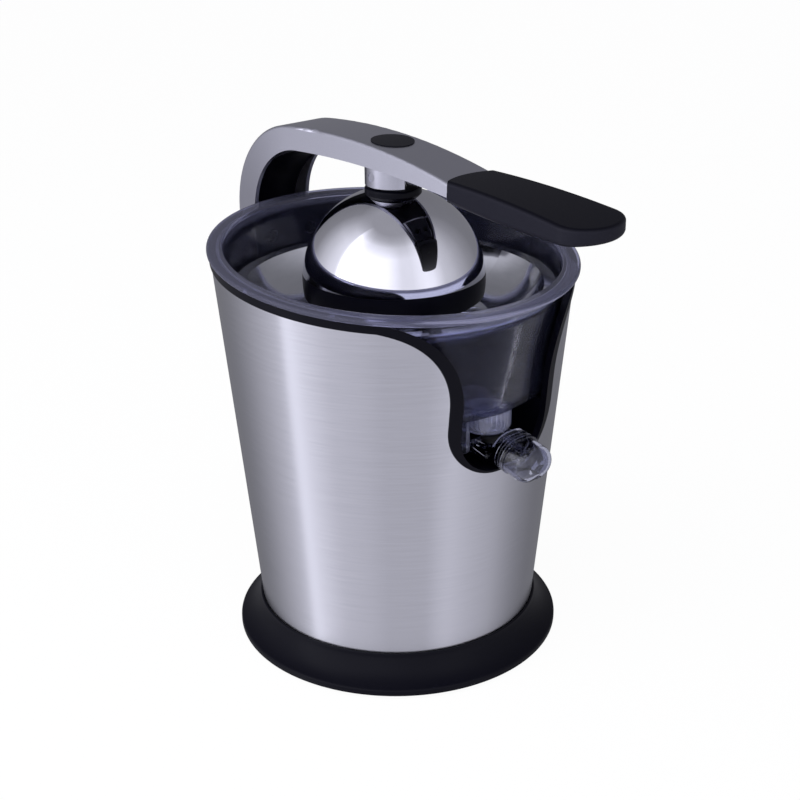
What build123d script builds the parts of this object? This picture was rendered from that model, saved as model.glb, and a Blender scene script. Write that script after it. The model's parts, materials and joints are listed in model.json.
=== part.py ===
from build123d import *
import os
from math import acos, atan2, cos, degrees, pi, radians, sin, sqrt, tan

# Electric lever-arm citrus juicer. Millimetres, +Z up, spout and grip at -Y,
# origin on the body's axis at the surface that the feet stand on.

# Clearances
run_fit = 0.05              # radial play of a pin or shaft in its bore
slip = 0.3                  # gap between neighbouring pieces that do not run on each other
gear_backlash = 0.3

# Steel shell: a cone cut by a slanted plane, with a notch at the front
shell_seat = 17.0
shell_radius = 78.6
shell_taper = 0.094         # radius gained for each millimetre of height
shell_wall = 0.8
rim_tilt = 5.0
steel_top = 217.5           # height of the slanted edge on the axis
notch_half = 36.5
notch_sill = 17.5           # the notch reaches this far below the bowl's sump
notch_corner = 29.0
notch_flare = 45.0
spigot_rise = 9.0           # locating collar of the foot inside the shell
spigot_wall = 2.6

# Foot and base
pad_height = 1.6
pad_radius = 9.0
pad_inset = 16.4            # from the foot's edge to the middle of a rubber pad
pad_neck = 3.8
foot_flare = 13.8           # the foot stands out this far round the steel
foot_lip = 3.6
foot_edge = 2.8             # width of the foot's rim round the base plate
foot_sag = 1.6              # hollow of the foot's flare
foot_collar = 3.5           # the foot reaches this far up the steel
collar_wall = 1.2
plate_thick = 2.5
gland_radius = 5.0
gland_bore = 3.4
gland_rise = 1.2            # above the middle of the foot's height
gland_reach = 4.0

# Black trim round the rim and the notch
trim_rise = 4.8
trim_band = 6.4
trim_sill = 1.2
trim_proud = 0.8
trim_depth = 3.2
trim_tuck = 2.4             # flange of the trim behind the steel
sleeve_gap = 1.2
sleeve_wall = 2.0

# Clear bowl
flange_overhang = 2.1       # the flange stands out this far round the top of the steel cone
flange_thick = 3.0
flange_round = 1.3
bowl_gap = 5.0              # from the outside of the steel to the bowl's wall
bowl_wall = 2.2
bowl_rise = 32.0            # the bowl's floor above the splash deck
ledge_drop = 11.6           # the strainer's ledge below the steel's edge
ledge_width = 5.16
ledge_thick = 2.3
chimney_gap = 2.0           # round the deck's tower
chimney_wall = 2.0
chimney_rise = 4.0          # above the tower
sump_inset = 18.67          # from the steel to the middle of the sump
sump_radius = 13.5
sump_depth = 12.0
outlet_radius = 4.5
outlet_offset = 5.0

# Drip spout, placed from the sump
spout_slope = 12.5
spout_half_width = 12.0
spout_half_height = 9.7
spout_wall = 1.8
spout_ahead = 17.0
spout_drop = 5.2
spout_front = 23.5
spout_back = 13.0
spout_end_round = 7.0
spout_pin_behind = 3.0
spout_pin_drop = 8.0
spout_pin_radius = 1.5
spout_eye = 4.5
spout_mouth = 6.0
spout_lug = 2.5
ring_rise = 0.7
plug_radius = 6.0
plug_thick = 3.0
plug_gap = 2.0              # opening under the outlet while the spout hangs open
bay_inset = 3.5             # from the notch's side to the bay's
bay_wall = 2.0
bay_behind = 17.0           # from the sump to the back of the bay
bay_gap = 2.0               # from the bay's top to the bowl

# Strainer and juicing cone
strainer_play = 1.96        # from the bowl's wall
strainer_lip = 6.2          # flat rim on the ledge
strainer_wall = 0.8
strainer_depth = 19.1
strainer_slope = 29.0       # from the rim in to the flat floor
strainer_gap = 5.0          # round the bowl's chimney
slot_count = 40
slot_width = 1.6
slot_inner_gap = 6.0
slot_outer_gap = 4.0
cone_room = 11.6            # from the cone out to the press dome
cone_lift = 5.2             # above the strainer's floor
cone_height = 44.0
cone_skirt = 3.0
cone_play = 7.0             # round the bowl's chimney
cone_cavity_depth = 12.0
cone_belly_out = 0.76       # the cone's side at mid height, as a share of its radius
cone_belly_up = 0.56        # and of its height
cone_crown = 4.75
press_travel = 2.5          # the cone sinks this far to start the motor
fin_count = 10
fin_thick = 2.4
fin_rise = 2.2

# Press dome, its pivot and the stem under the arm
dome_radius = 49.6
dome_lift = 2.6             # its centre above the strainer's ledge
dome_wall = 1.0
dome_skirt = 1.0            # it reaches this far below its centre
cup_wall = 2.4
cup_skirt = 8.0             # lip of the cup below the dome's edge
press_collar_radius = 15.2
press_collar_rise = 1.1     # above the top of the dome
press_pivot_rise = 6.8
press_pin_radius = 2.5
press_lug_half = 4.0
press_lug_round = 6.0
press_neck = 4.0
press_nut_radius = 8.0
press_nut_thick = 3.5
stem_radius = 15.0
stem_drop = 5.5             # below the pivot
stem_rise = 4.9             # above it
stem_spigot = 12.5
stem_screw_radius = 3.0
stem_screw_head = 8.0
cap_radius = 11.5
cap_proud = 0.5
cap_depth = 0.8

# Arm: an arch of channel section, its outer line a leg, a bend and a crown
arm_depth = 12.1            # from the top of its outer line to the top of its lower edge
crown_y = 28.0
crown_radius = 420.0
bend_radius = 56.0
leg_gap = 1.0               # from the bowl's flange
leg_width = 22.0
under_rise = 5.7            # its lower edge above the press pivot
under_y = 12.0
under_radius = 650.0
under_bend = 42.0
arm_half = 15.75
arm_draft = 0.17            # half width gained for each millimetre below the outer line
arm_round = 2.0
arm_skin = 3.0
arm_side = 2.4
liner_wall = 1.6
liner_recess = 0.8
liner_leg_recess = 9.0
liner_gap = 2.0             # from the grip's tang
liner_lift = 16.0           # above the hinge

# Hinge at the back
hinge_drop = 11.5           # below the steel's edge
hinge_pin_radius = 4.0
lug_half = 12.0
lug_round = 7.5
bracket_half = 20.0
bracket_below = 24.0
bracket_above = 14.0
bracket_gap = 0.7
bracket_round = 6.0
hinge_screw_x = 14.0
hinge_screw_inset = 6.5
hinge_bush_radius = 8.0
screw_radius = 2.0
screw_head = 3.5
screw_head_thick = 2.2

# Grip
grip_rear = -56.4
grip_length = 96.6
grip_step_out = 1.25        # half width at its rear over the arm's
grip_rear_sag = 4.6
grip_spread = 3.8           # half width gained towards its front
grip_nose = 10.0
grip_corner = 12.0
grip_wall = 3.6
grip_top_round = 2.2
grip_low_round = 3.0
grip_base_thick = 2.0
grip_top_sag = 0.4          # fall of the top line half way along
grip_top_fall = 7.5         # and at its end
grip_step = 0.6             # the grip's bottom begins this far below the arm's edge
grip_belly = 5.4
grip_low_fall = 5.6
grip_screw_length = 7.0
grip_screw_inset = 21.3
grip_screw_radius = 1.5
grip_screw_head = 2.8
tang_inset = 4.75           # from the arm's half width
tang_length = 24.4

# Motor, gears and frame
frame_gap = 12.6            # from the foot of the steel
frame_lift = 10.0           # above the stator
frame_thick = 4.0
post_inset = 10.0
post_radius = 5.5
stator_radius = 38.0
stator_ring = 8.0
stator_low = 24.0
stator_height = 30.0
pole_half = 8.0
pole_length = 10.0
coil_thick = 5.0
air_gap = 0.4
motor_shaft_radius = 4.0
motor_shaft_end = 2.0
bridge_drop = 12.0          # below the stator
bridge_thick = 4.0
bolt_inset = 4.5
bush_wall = 4.0
gear_module = 1.25
gear_addendum = 0.92        # in modules
gear_dedendum = 1.28
pressure_angle = 20.0
pinion_teeth = 16
wheel_teeth = 48
pinion_lift = 3.0
pinion_face = 10.0
idler_lift = 1.0
idler_face = 8.0
idler_pin_radius = 3.0
output_lift = 3.5           # above the idler's wheel
output_face = 8.0
idler_over = 0.8            # the idler's pinion over the output gear
hub_radius = 9.0
hub_rise = 5.0
clip_thick = 1.2
cover_lift = 4.5            # above the output gear
cover_thick = 3.0
cover_inset = 2.0
cover_post_inset = 9.0
cover_post_radius = 5.0
cover_bush_wall = 3.0

# Drive shaft, return spring and start switch
shaft_square = 8.0
shaft_radius = 6.0
shaft_inset = 2.5
shaft_shoulder = 4.0
shaft_grip = 18.0           # length of the square inside the cone
collar_rise = 10.0          # above the hub
collar_thick = 3.0
collar_radius = 18.5
spring_radius = 7.4
spring_wire = 0.6
spring_turns = 4
switch_y = -15.2
plunger_radius = 1.8
switch_half = 10.0
switch_depth = 15.0
switch_height = 8.0
switch_floor = 2.0

# Splash deck under the bowl
deck_lift = 23.0            # above the gearbox cover
deck_thick = 2.0
deck_post_inset = 18.0
deck_post_radius = 4.5
tower_radius = 17.0
tower_bore = 13.0
tower_lift = 2.0            # above the cone's base
tower_bush_height = 8.0
seal_thick = 3.0


def wall_radius(z):
    """Outer radius of the steel cone at a height."""
    return shell_radius + (z - shell_seat) * shell_taper


# Worked out from the sizes above, from the foot upwards
slope = tan(radians(rim_tilt))
foot_radius = shell_radius + foot_flare
foot_height = shell_seat + foot_collar
pad_circle = foot_radius - pad_inset
plate_top = pad_height + plate_thick
gland_height = (pad_height + shell_seat) / 2 + gland_rise

stator_high = stator_low + stator_height
stator_inner = stator_radius - stator_ring
rotor_radius = stator_inner - pole_length
bolt_circle = stator_radius - bolt_inset
bridge_low = stator_low - bridge_drop
motor_shaft_low = bridge_low - motor_shaft_end
frame_low = stator_high + frame_lift
frame_high = frame_low + frame_thick
frame_radius = shell_radius - frame_gap
post_circle = frame_radius - post_inset
pinion_low = frame_high + pinion_lift
pinion_high = pinion_low + pinion_face
idler_low = pinion_low + idler_lift
output_low = idler_low + idler_face + output_lift
idler_high = output_low + output_face + idler_over
centre_distance = gear_module * (pinion_teeth + wheel_teeth) / 2
cover_low = output_low + output_face + cover_lift
cover_top = cover_low + cover_thick
cover_radius = frame_radius - cover_inset
cover_post_circle = frame_radius - cover_post_inset
hub_top = cover_top + hub_rise
collar_low = hub_top + collar_rise
deck_low = cover_top + deck_lift
deck_top = deck_low + deck_thick
deck_post_circle = frame_radius - deck_post_inset

trim_top = steel_top + trim_rise
flange_top = trim_top + flange_thick
flange_radius = wall_radius(trim_top) + flange_overhang
bowl_floor = deck_top + bowl_rise
ledge_height = steel_top - ledge_drop
bowl_inside = wall_radius(ledge_height) - bowl_gap - bowl_wall
ledge_radius = bowl_inside - ledge_width
chimney_bore = tower_radius + chimney_gap
chimney_out = chimney_bore + chimney_wall
sump_y = sump_inset - wall_radius(bowl_floor)
sump_bottom = bowl_floor - sump_depth
outlet_y = sump_y - outlet_offset
notch_bottom = sump_bottom - notch_sill

spout_axis_y = sump_y - spout_ahead
spout_axis_z = sump_bottom - spout_drop
spout_tip_y = spout_axis_y - spout_front
spout_rear_y = spout_axis_y + spout_back
spout_pin_y = sump_y + spout_pin_behind
spout_pin_z = sump_bottom - spout_pin_drop
bay_half = notch_half - bay_inset
bay_back_y = sump_y + bay_behind
bay_top = bowl_floor - bay_gap

strainer_radius = bowl_inside - strainer_play
strainer_rim = strainer_radius - strainer_lip
strainer_floor = ledge_height - strainer_depth
strainer_flat = strainer_rim - strainer_slope
strainer_hole = chimney_out + strainer_gap
slot_inner = strainer_hole + slot_inner_gap
slot_outer = strainer_flat - slot_outer_gap
cone_radius = dome_radius - cone_room
cone_base = strainer_floor + cone_lift
cone_top = cone_base + cone_height
cone_cavity = chimney_out + cone_play
cone_cavity_top = cone_base + cone_cavity_depth
tower_top = cone_base + tower_lift
chimney_top = tower_top + chimney_rise
shaft_low = output_low + shaft_inset
shaft_round_low = collar_low + shaft_shoulder
shaft_top = cone_cavity_top + shaft_grip

dome_centre = ledge_height + dome_lift
dome_edge = dome_centre - dome_skirt
cup_lip = dome_edge - cup_skirt
press_collar_top = dome_centre + dome_radius + press_collar_rise
press_pivot = press_collar_top + press_pivot_rise
stem_bottom = press_pivot - stem_drop
stem_shoulder = press_pivot + stem_rise
under_top = press_pivot + under_rise
arm_top = under_top + arm_depth
leg_front = flange_radius + leg_gap
leg_back = leg_front + leg_width
leg_round = leg_width / 2
hinge_y = leg_front + leg_round
hinge_z = steel_top - hinge_drop
bracket_low = hinge_z - bracket_below
bracket_high = hinge_z + bracket_above
bracket_back = leg_front - bracket_gap
liner_foot = hinge_z + liner_lift
bend_y = leg_back - bend_radius
bend_z = arm_top - crown_radius + sqrt((crown_radius - bend_radius) ** 2 - (bend_y - crown_y) ** 2)
mouth_y = leg_front - under_bend
mouth_z = under_top - under_radius + sqrt((under_radius - under_bend) ** 2 - (mouth_y - under_y) ** 2)
bend_angle = degrees(atan2(bend_z - arm_top + crown_radius, bend_y - crown_y))
mouth_angle = degrees(atan2(mouth_z - under_top + under_radius, mouth_y - under_y))

grip_tip = grip_rear - grip_length
grip_shoulder = grip_tip + grip_nose
grip_rear_half = arm_half + grip_step_out
grip_front_half = grip_rear_half + grip_spread
grip_rear_radius = (grip_rear_half ** 2 + grip_rear_sag ** 2) / (2 * grip_rear_sag)
grip_screw_ys = (grip_rear - grip_screw_inset, grip_tip + grip_screw_inset)
tang_half = arm_half - tang_inset
tang_rear = grip_rear + tang_length
liner_front = tang_rear + liner_gap
reach = 2 * foot_radius + leg_back


def crown_z(y, drop=0.0):
    """Height of the arm's outer line over the crown, or of a line that lies below it by drop."""
    return arm_top - crown_radius + sqrt((crown_radius - drop) ** 2 - (y - crown_y) ** 2)


def under_z(y, rise=0.0):
    """Height of the arm's lower edge, or of a line above it by rise."""
    return under_top - under_radius + sqrt((under_radius + rise) ** 2 - (y - under_y) ** 2)


def rod(radius, low, high, x=0.0, y=0.0):
    return Pos(x, y, (low + high) / 2) * Cylinder(radius, high - low)


def tube(outer, inner, low, high, x=0.0, y=0.0):
    return rod(outer, low, high, x, y) - rod(inner, low, high, x, y)


def cross_rod(radius, left, right, y, z):
    return Pos((left + right) / 2, y, z) * Rot(0, 90, 0) * Cylinder(radius, right - left)


def block(left, right, front, back, low, high):
    middle = Pos((left + right) / 2, (front + back) / 2, (low + high) / 2)
    return middle * Box(right - left, back - front, high - low)


def spread(count, radius, start=0.0):
    """Centres of a ring of equal features."""
    angles = [radians(start + 360 / count * i) for i in range(count)]
    return [(radius * cos(a), radius * sin(a)) for a in angles]


def spun(*edges):
    """Solid turned about the body's axis from a closed outline of radius and height."""
    return revolve(Plane.XZ * make_face(Wire(edges)), Axis.Z)


def chain(*points):
    """Straight edges from point to point."""
    return [Line(a, b) for a, b in zip(points, points[1:])]


def cone_solid(offset, low, high):
    height = high - low
    cone = Cone(wall_radius(low) + offset, wall_radius(high) + offset, height)
    return Pos(0, 0, (low + high) / 2) * cone


def cone_shell(outer, inner, low, high):
    return cone_solid(outer, low, high) - cone_solid(inner, low - 1, high + 1)


def below_rim(height):
    """All that lies under a plane parallel to the rim, through this height on the axis."""
    rim = Plane(origin=(0, 0, height), x_dir=(1, 0, 0), z_dir=(0, -slope, 1))
    return rim * Box(2 * reach, 2 * reach, 2 * reach, align=(Align.CENTER, Align.CENTER, Align.MAX))


def notch(grow, drop, edge):
    """Prism of the front notch, grown sideways, lowered, and flared into a rim at this height."""
    half = notch_half + grow
    corner = notch_corner + grow
    flare = notch_flare - grow
    low = notch_bottom - drop
    end = half + flare
    high = edge - slope * sqrt(wall_radius(edge) ** 2 - end ** 2) + slip
    ceiling = edge + reach
    right = [
        Line((0, low), (half - corner, low)),
        CenterArc((half - corner, low + corner), corner, -90, 90),
        Line((half, low + corner), (half, high - flare)),
        CenterArc((half + flare, high - flare), flare, 180, -90),
        Line((end, high), (end, ceiling)),
        Line((end, ceiling), (0, ceiling)),
        Line((0, ceiling), (0, low)),
    ]
    prism = extrude(Plane.XZ * make_face(Wire(right)), reach)
    return prism + mirror(prism, Plane.YZ)


def base_foot():
    plate_edge = foot_radius - foot_edge
    collar_in = wall_radius(foot_height) + slip
    collar_out = collar_in + collar_wall
    spigot = shell_radius - shell_wall - slip
    inner = spigot - spigot_wall
    lip_top = pad_height + foot_lip
    flare_top = foot_height - collar_wall
    middle = ((foot_radius + collar_out) / 2 - foot_sag, (lip_top + flare_top) / 2 - foot_sag)
    ring = spun(
        Line((foot_radius, pad_height), (foot_radius, lip_top)),
        ThreePointArc((foot_radius, lip_top), middle, (collar_out, flare_top)),
        *chain((collar_out, flare_top), (collar_out, foot_height), (collar_in, foot_height),
               (collar_in, shell_seat), (spigot, shell_seat), (spigot, shell_seat + spigot_rise),
               (inner, shell_seat + spigot_rise), (inner, shell_seat - spigot_wall),
               (plate_edge - 2 * foot_edge, plate_top), (plate_edge, plate_top),
               (plate_edge, pad_height), (foot_radius, pad_height)))
    return ring - gland_rod(gland_radius, 0, reach)


def gland_rod(radius, front, back):
    return Pos(0, (front + back) / 2, gland_height) * Rot(90, 0, 0) * Cylinder(radius, back - front)


def cord_gland():
    front = shell_radius - spigot_wall
    back = foot_radius + gland_reach
    return gland_rod(gland_radius, front, back) - gland_rod(gland_bore, front, back)


def base_plate():
    plate = rod(foot_radius - foot_edge - slip, pad_height, plate_top)
    for x, y in spread(4, pad_circle, 45):
        plate -= rod(pad_neck, pad_height, plate_top, x, y)
    for x, y in spread(4, post_circle):
        plate -= rod(screw_radius, pad_height, plate_top, x, y)
        plate -= rod(screw_head, pad_height, pad_height + plate_thick / 2, x, y)
    return plate


def rubber_feet():
    feet = []
    for x, y in spread(4, pad_circle, 45):
        pad = rod(pad_radius, 0, pad_height, x, y)
        neck = rod(pad_neck, pad_height, plate_top, x, y)
        head = rod(pad_neck + collar_wall, plate_top, plate_top + pad_height, x, y)
        feet.append(pad + neck + head)
    return feet


def screw(head_radius, shank_radius, seat, end, head_thick, x, y):
    """Upright screw whose head lies on its seat, on the far side from the shank's end."""
    outward = 1 if seat > end else -1
    head_end = seat + outward * head_thick
    head = rod(head_radius, min(seat, head_end), max(seat, head_end), x, y)
    return head + rod(shank_radius, min(seat, end), max(seat, end), x, y)


def base_screws():
    seat = pad_height + plate_thick / 2
    end = plate_top + 3 * screw_head
    return [screw(screw_head - slip, screw_radius, seat, end, plate_thick / 2 - slip, x, y)
            for x, y in spread(4, post_circle)]


def body_shell():
    high = trim_top + slope * reach
    shell = cone_shell(0, -shell_wall, shell_seat, high) & below_rim(steel_top)
    shell -= notch(0, 0, steel_top)
    for x, z in hinge_screw_places():
        shell -= back_rod(screw_radius, 0, reach, x, z)
    return shell


def body_trim():
    low = notch_bottom - trim_tuck - trim_band
    high = trim_top + slope * reach
    band = cone_shell(trim_proud, -trim_depth, low, high) & below_rim(trim_top)
    tuck = cone_shell(-shell_wall - run_fit, -trim_depth, low, high) & below_rim(trim_top)
    band_edge = band - below_rim(steel_top)
    band_side = band & notch(0, 0, steel_top)
    tuck_edge = tuck - below_rim(steel_top - trim_tuck)
    tuck_side = tuck & notch(trim_tuck, trim_tuck, steel_top - trim_tuck)
    return band_edge + band_side + tuck_edge + tuck_side - notch(-trim_band, -trim_sill, trim_top)


def inner_sleeve():
    high = trim_top + slope * reach
    outer = -sleeve_gap
    sleeve = cone_shell(outer, outer - sleeve_wall, deck_top, high) & below_rim(steel_top - trim_tuck)
    sleeve -= notch(trim_tuck, trim_tuck, steel_top - trim_tuck)
    for x, z in hinge_screw_places():
        sleeve -= back_rod(screw_head + slip, 0, reach, x, z)
    return sleeve


def spout_bay():
    inside = cone_solid(-trim_depth - slip, deck_top, bay_top)
    outer = block(-bay_half, bay_half, -reach, bay_back_y, deck_top, bay_top)
    inner_half = bay_half - bay_wall
    pocket = block(-inner_half, inner_half, -reach, bay_back_y - bay_wall, deck_top + bay_wall, bay_top)
    return (outer - pocket) & inside


def splash_deck():
    deck = rod(wall_radius(deck_low) - sleeve_gap - slip, deck_low, deck_top)
    for x, y in spread(4, deck_post_circle):
        deck += rod(deck_post_radius, cover_top, deck_low, x, y)
    deck += rod(tower_radius, deck_top, tower_top)
    deck -= rod(tower_bore, deck_low, tower_top - tower_bush_height)
    deck -= rod(tower_bore - bush_wall, deck_low, tower_top)
    for x, y in spread(4, deck_post_circle):
        deck -= rod(screw_radius, cover_top, deck_low - deck_thick, x, y)
    return deck


def deck_screws():
    return [screw(screw_head, screw_radius, cover_low, deck_low - deck_thick, screw_head_thick, x, y)
            for x, y in spread(4, deck_post_circle)]


def tower_bush():
    return tube(tower_bore - bush_wall, shaft_radius + run_fit, tower_top - tower_bush_height, tower_top)


def shaft_seal():
    return tube(tower_bore, shaft_radius + slip, tower_top, tower_top + seal_thick)


def juice_bowl():
    high = flange_top + slope * reach
    inner = -bowl_gap - bowl_wall
    wall = cone_solid(-bowl_gap, bowl_floor, high) & below_rim(flange_top)
    flange = rod(flange_radius, bowl_floor, high) & below_rim(flange_top)
    flange -= below_rim(trim_top)
    rim_edges = flange.edges().filter_by(GeomType.ELLIPSE)
    flange = fillet(rim_edges, flange_round)
    bowl = wall + flange - cone_solid(inner, bowl_floor + bowl_wall, high)
    ledge = tube(wall_radius(ledge_height) + inner + bowl_wall / 2, ledge_radius,
                 ledge_height - ledge_thick, ledge_height)
    bowl += ledge & cone_solid(-bowl_gap, bowl_floor, high)
    bowl += rod(chimney_bore + chimney_wall, bowl_floor, chimney_top)
    bowl += rod(sump_radius, sump_bottom, bowl_floor, 0, sump_y)
    lug_low = spout_pin_z - spout_eye
    for side in (-1, 1):
        near = side * (spout_half_width + 2 * slip)
        far = near + side * spout_lug
        bowl += block(min(near, far), max(near, far), spout_pin_y - spout_eye, spout_pin_y + spout_eye,
                      lug_low, bowl_floor + bowl_wall / 2)
    bowl -= rod(chimney_bore, bowl_floor, chimney_top)
    bowl -= rod(sump_radius - bowl_wall, sump_bottom + bowl_wall, bowl_floor + bowl_wall, 0, sump_y)
    bowl -= rod(outlet_radius, sump_bottom, bowl_floor, 0, outlet_y)
    return bowl - cross_rod(spout_pin_radius, -reach, reach, spout_pin_y, spout_pin_z)


def spout_pin():
    half = spout_half_width + 2 * slip + spout_lug
    return cross_rod(spout_pin_radius, -half, half, spout_pin_y, spout_pin_z)


def spout_plane(y):
    """Plane square to the spout's axis, its normal pointing down the spout."""
    z = spout_axis_z + (y - spout_axis_y) * tan(radians(spout_slope))
    down = (0, -cos(radians(spout_slope)), -sin(radians(spout_slope)))
    return Plane(origin=(0, y, z), x_dir=(1, 0, 0), z_dir=down)


def spout_oval(inset, start_y, end_y):
    half_height = spout_half_height - inset
    length = 2 * (spout_half_width - inset)
    face = SlotOverall(length, 2 * half_height)
    return extrude(spout_plane(start_y) * face, (start_y - end_y) / cos(radians(spout_slope)))


def rounded_oval(inset, start_y):
    """Oval bar down to the spout's tip, its end rounded, drawn in all round by inset."""
    end_y = spout_tip_y + inset
    bar = spout_oval(inset, start_y, end_y)
    end = spout_plane(end_y)
    end_edges = [e for e in bar.edges() if abs(end.to_local_coords(e.center()).Z) < slip]
    return fillet(end_edges, spout_end_round - inset)


def drip_spout():
    spout = rounded_oval(0, spout_rear_y)
    for y in (spout_axis_y - 2 * spout_wall, spout_axis_y - 4 * spout_wall):
        spout += spout_oval(-ring_rise, y, y - spout_wall)
    spout -= rounded_oval(spout_wall, spout_rear_y + spout_wall)
    mouth_y = spout_tip_y + spout_end_round + spout_wall
    spout -= rod(spout_mouth, spout_pin_z - 3 * spout_eye, spout_plane(mouth_y).origin.Z, 0, mouth_y)
    cut_low = sump_bottom - plug_gap - slip
    cut_high = cut_low + 2 * spout_half_height
    cut_y = spout_axis_y - slip
    trough_cut = make_face(Wire(chain(
        (bay_back_y, cut_low), (cut_y, cut_low), (cut_y - spout_eye, cut_high), (bay_back_y, cut_high),
        (bay_back_y, cut_low))))
    spout -= extrude(Plane.YZ * trough_cut, spout_half_width + slip, both=True)
    cheek_end = spout_rear_y - 2 * spout_eye
    for side in (-1, 1):
        inner = side * (spout_half_width - spout_wall)
        outer = side * spout_half_width
        left, right = min(inner, outer), max(inner, outer)
        cheek = cross_rod(spout_eye, left, right, spout_pin_y, spout_pin_z)
        cheek += block(left, right, cheek_end, spout_pin_y,
                       spout_pin_z - spout_eye / 2, spout_pin_z + spout_eye / 2)
        spout += cheek
    bridge_top = plug_seat()
    spout += block(-spout_half_width, spout_half_width, outlet_y - spout_eye, outlet_y + spout_eye / 2,
                   bridge_top - spout_wall, bridge_top)
    return spout - cross_rod(spout_pin_radius + run_fit, -reach, reach, spout_pin_y, spout_pin_z)


def plug_seat():
    return sump_bottom - plug_gap - plug_thick


def spout_plug():
    seat = plug_seat()
    disc = rod(plug_radius, seat, seat + plug_thick, 0, outlet_y)
    return chamfer(disc.faces().sort_by(Axis.Z)[-1].edges(), plug_thick / 3)


def strainer():
    top = ledge_height + strainer_wall
    floor = strainer_floor
    under = floor - strainer_wall
    middle = ((strainer_rim + strainer_flat) / 2, (top + floor) / 2)
    bulge = (middle[0] + 4 * strainer_wall, middle[1] - 3 * strainer_wall)
    low_bulge = (bulge[0] + strainer_wall / 2, bulge[1] - strainer_wall)
    dish = spun(
        Line((strainer_radius, ledge_height), (strainer_radius, top)),
        Line((strainer_radius, top), (strainer_rim, top)),
        ThreePointArc((strainer_rim, top), bulge, (strainer_flat, floor)),
        *chain((strainer_flat, floor), (strainer_hole, floor), (strainer_hole, under),
               (strainer_flat, under)),
        ThreePointArc((strainer_flat, under), low_bulge, (strainer_rim + strainer_wall, ledge_height)),
        Line((strainer_rim + strainer_wall, ledge_height), (strainer_radius, ledge_height)))
    slots = []
    middle = (slot_inner + slot_outer) / 2
    for i in range(slot_count):
        slot = Pos(middle, 0, floor) * Box(slot_outer - slot_inner, slot_width, 4 * strainer_wall)
        slots.append(Rot(0, 0, 360 / slot_count * i) * slot)
    return dish - slots


def ogive(grow):
    """Rounded cone of the reamer, grown by a rib's height."""
    radius = cone_radius + grow
    low = cone_base + cone_skirt
    tip = cone_top + grow
    middle = (radius * cone_belly_out, low + (tip - low) * cone_belly_up)
    return spun(
        *chain((0, cone_base), (radius, cone_base), (radius, low)),
        ThreePointArc((radius, low), middle, (cone_crown, tip)),
        *chain((cone_crown, tip), (0, tip), (0, cone_base)))


def juicing_cone():
    body = ogive(0)
    ribbed = ogive(fin_rise)
    for i in range(fin_count):
        fin = Pos(cone_radius / 2 + fin_rise, 0, (cone_base + cone_top) / 2 + fin_rise)
        fin = fin * Box(cone_radius, fin_thick, cone_top - cone_base)
        body += (Rot(0, 0, 360 / fin_count * i) * fin) & ribbed
    body -= rod(cone_cavity, cone_base, cone_cavity_top)
    return body - square_bore(cone_cavity_top, shaft_top + run_fit, run_fit)


def ball(radius):
    return Pos(0, 0, dome_centre) * Sphere(radius)


def above(height):
    return block(-reach, reach, -reach, reach, height, height + reach)


def press_dome():
    shell = (ball(dome_radius) - ball(dome_radius - dome_wall)) & above(dome_edge)
    return shell - rod(press_neck, dome_centre, press_pivot)


def nut_seat():
    return dome_centre + dome_radius - dome_wall - 2 * cup_wall


def press_cup():
    outer = dome_radius - dome_wall - run_fit
    solid = ball(outer) & above(dome_edge)
    solid += rod(dome_radius, cup_lip, dome_edge) & ball(dome_radius)
    boss = rod(press_nut_radius + cup_wall, nut_seat(), dome_centre + dome_radius) & ball(outer)
    cup = solid - ball(outer - cup_wall) + boss
    return cup - rod(press_neck, dome_centre, press_pivot)


def press_bolt():
    lug_low = press_collar_top
    lug = block(-press_lug_half, press_lug_half, -press_lug_round, press_lug_round, lug_low, press_pivot)
    lug += cross_rod(press_lug_round, -press_lug_half, press_lug_half, 0, press_pivot)
    lug -= cross_rod(press_pin_radius + run_fit, -reach, reach, 0, press_pivot)
    return lug + rod(press_neck, nut_seat() - press_nut_thick, lug_low)


def press_nut():
    seat = nut_seat()
    low = seat - press_nut_thick
    hexagon = extrude(Plane((0, 0, low)) * RegularPolygon(press_nut_radius, 6), press_nut_thick)
    return hexagon - rod(press_neck, low, seat)


def press_collar():
    ring = tube(press_collar_radius, press_neck, dome_centre, press_collar_top)
    return ring - ball(dome_radius)


def press_pin():
    half = sqrt(stem_radius ** 2 - press_pin_radius ** 2) - slip
    return cross_rod(press_pin_radius, -half, half, 0, press_pivot)


def press_stem():
    stem = rod(stem_radius, stem_bottom, stem_shoulder) + rod(stem_spigot, stem_shoulder, arm_top)
    stem &= crown_prism(-reach, reach, stem_bottom, arm_skin)
    slot_half = press_lug_half + slip
    slot_top = press_pivot + press_lug_round + 2 * slip
    stem -= block(-slot_half, slot_half, -stem_radius, stem_radius, stem_bottom, slot_top)
    stem -= cross_rod(press_pin_radius, -stem_radius, stem_radius, 0, press_pivot)
    return stem - rod(stem_screw_radius, slot_top + slip, arm_top)


def crown_prism(front, back, low, drop):
    """All that lies under the arm's crown line, or under a line below it by drop."""
    centre = (crown_y, arm_top - crown_radius)
    radius = crown_radius - drop
    front = max(front, crown_y - radius / 2)
    back = min(back, crown_y + radius / 2)
    start = degrees(acos((back - crown_y) / radius))
    turn = degrees(acos((front - crown_y) / radius)) - start
    line = CenterArc(centre, radius, start, turn)
    sides = chain((front, crown_z(front, drop)), (front, low), (back, low), (back, crown_z(back, drop)))
    face = make_face(Wire([line, *sides]))
    return extrude(Plane.YZ * face, reach, both=True)


def stem_screw():
    head_top = crown_prism(-reach, reach, stem_bottom, cap_depth)
    head_low = crown_prism(-reach, reach, stem_bottom, arm_skin - cap_depth)
    head = (rod(stem_screw_head, stem_bottom, arm_top) & head_top) - head_low
    slot_top = press_pivot + press_lug_round + 2 * slip
    shank = rod(stem_screw_radius, slot_top + slip, arm_top)
    return head + (shank & crown_prism(-reach, reach, 0, cap_depth + slip))


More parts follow.
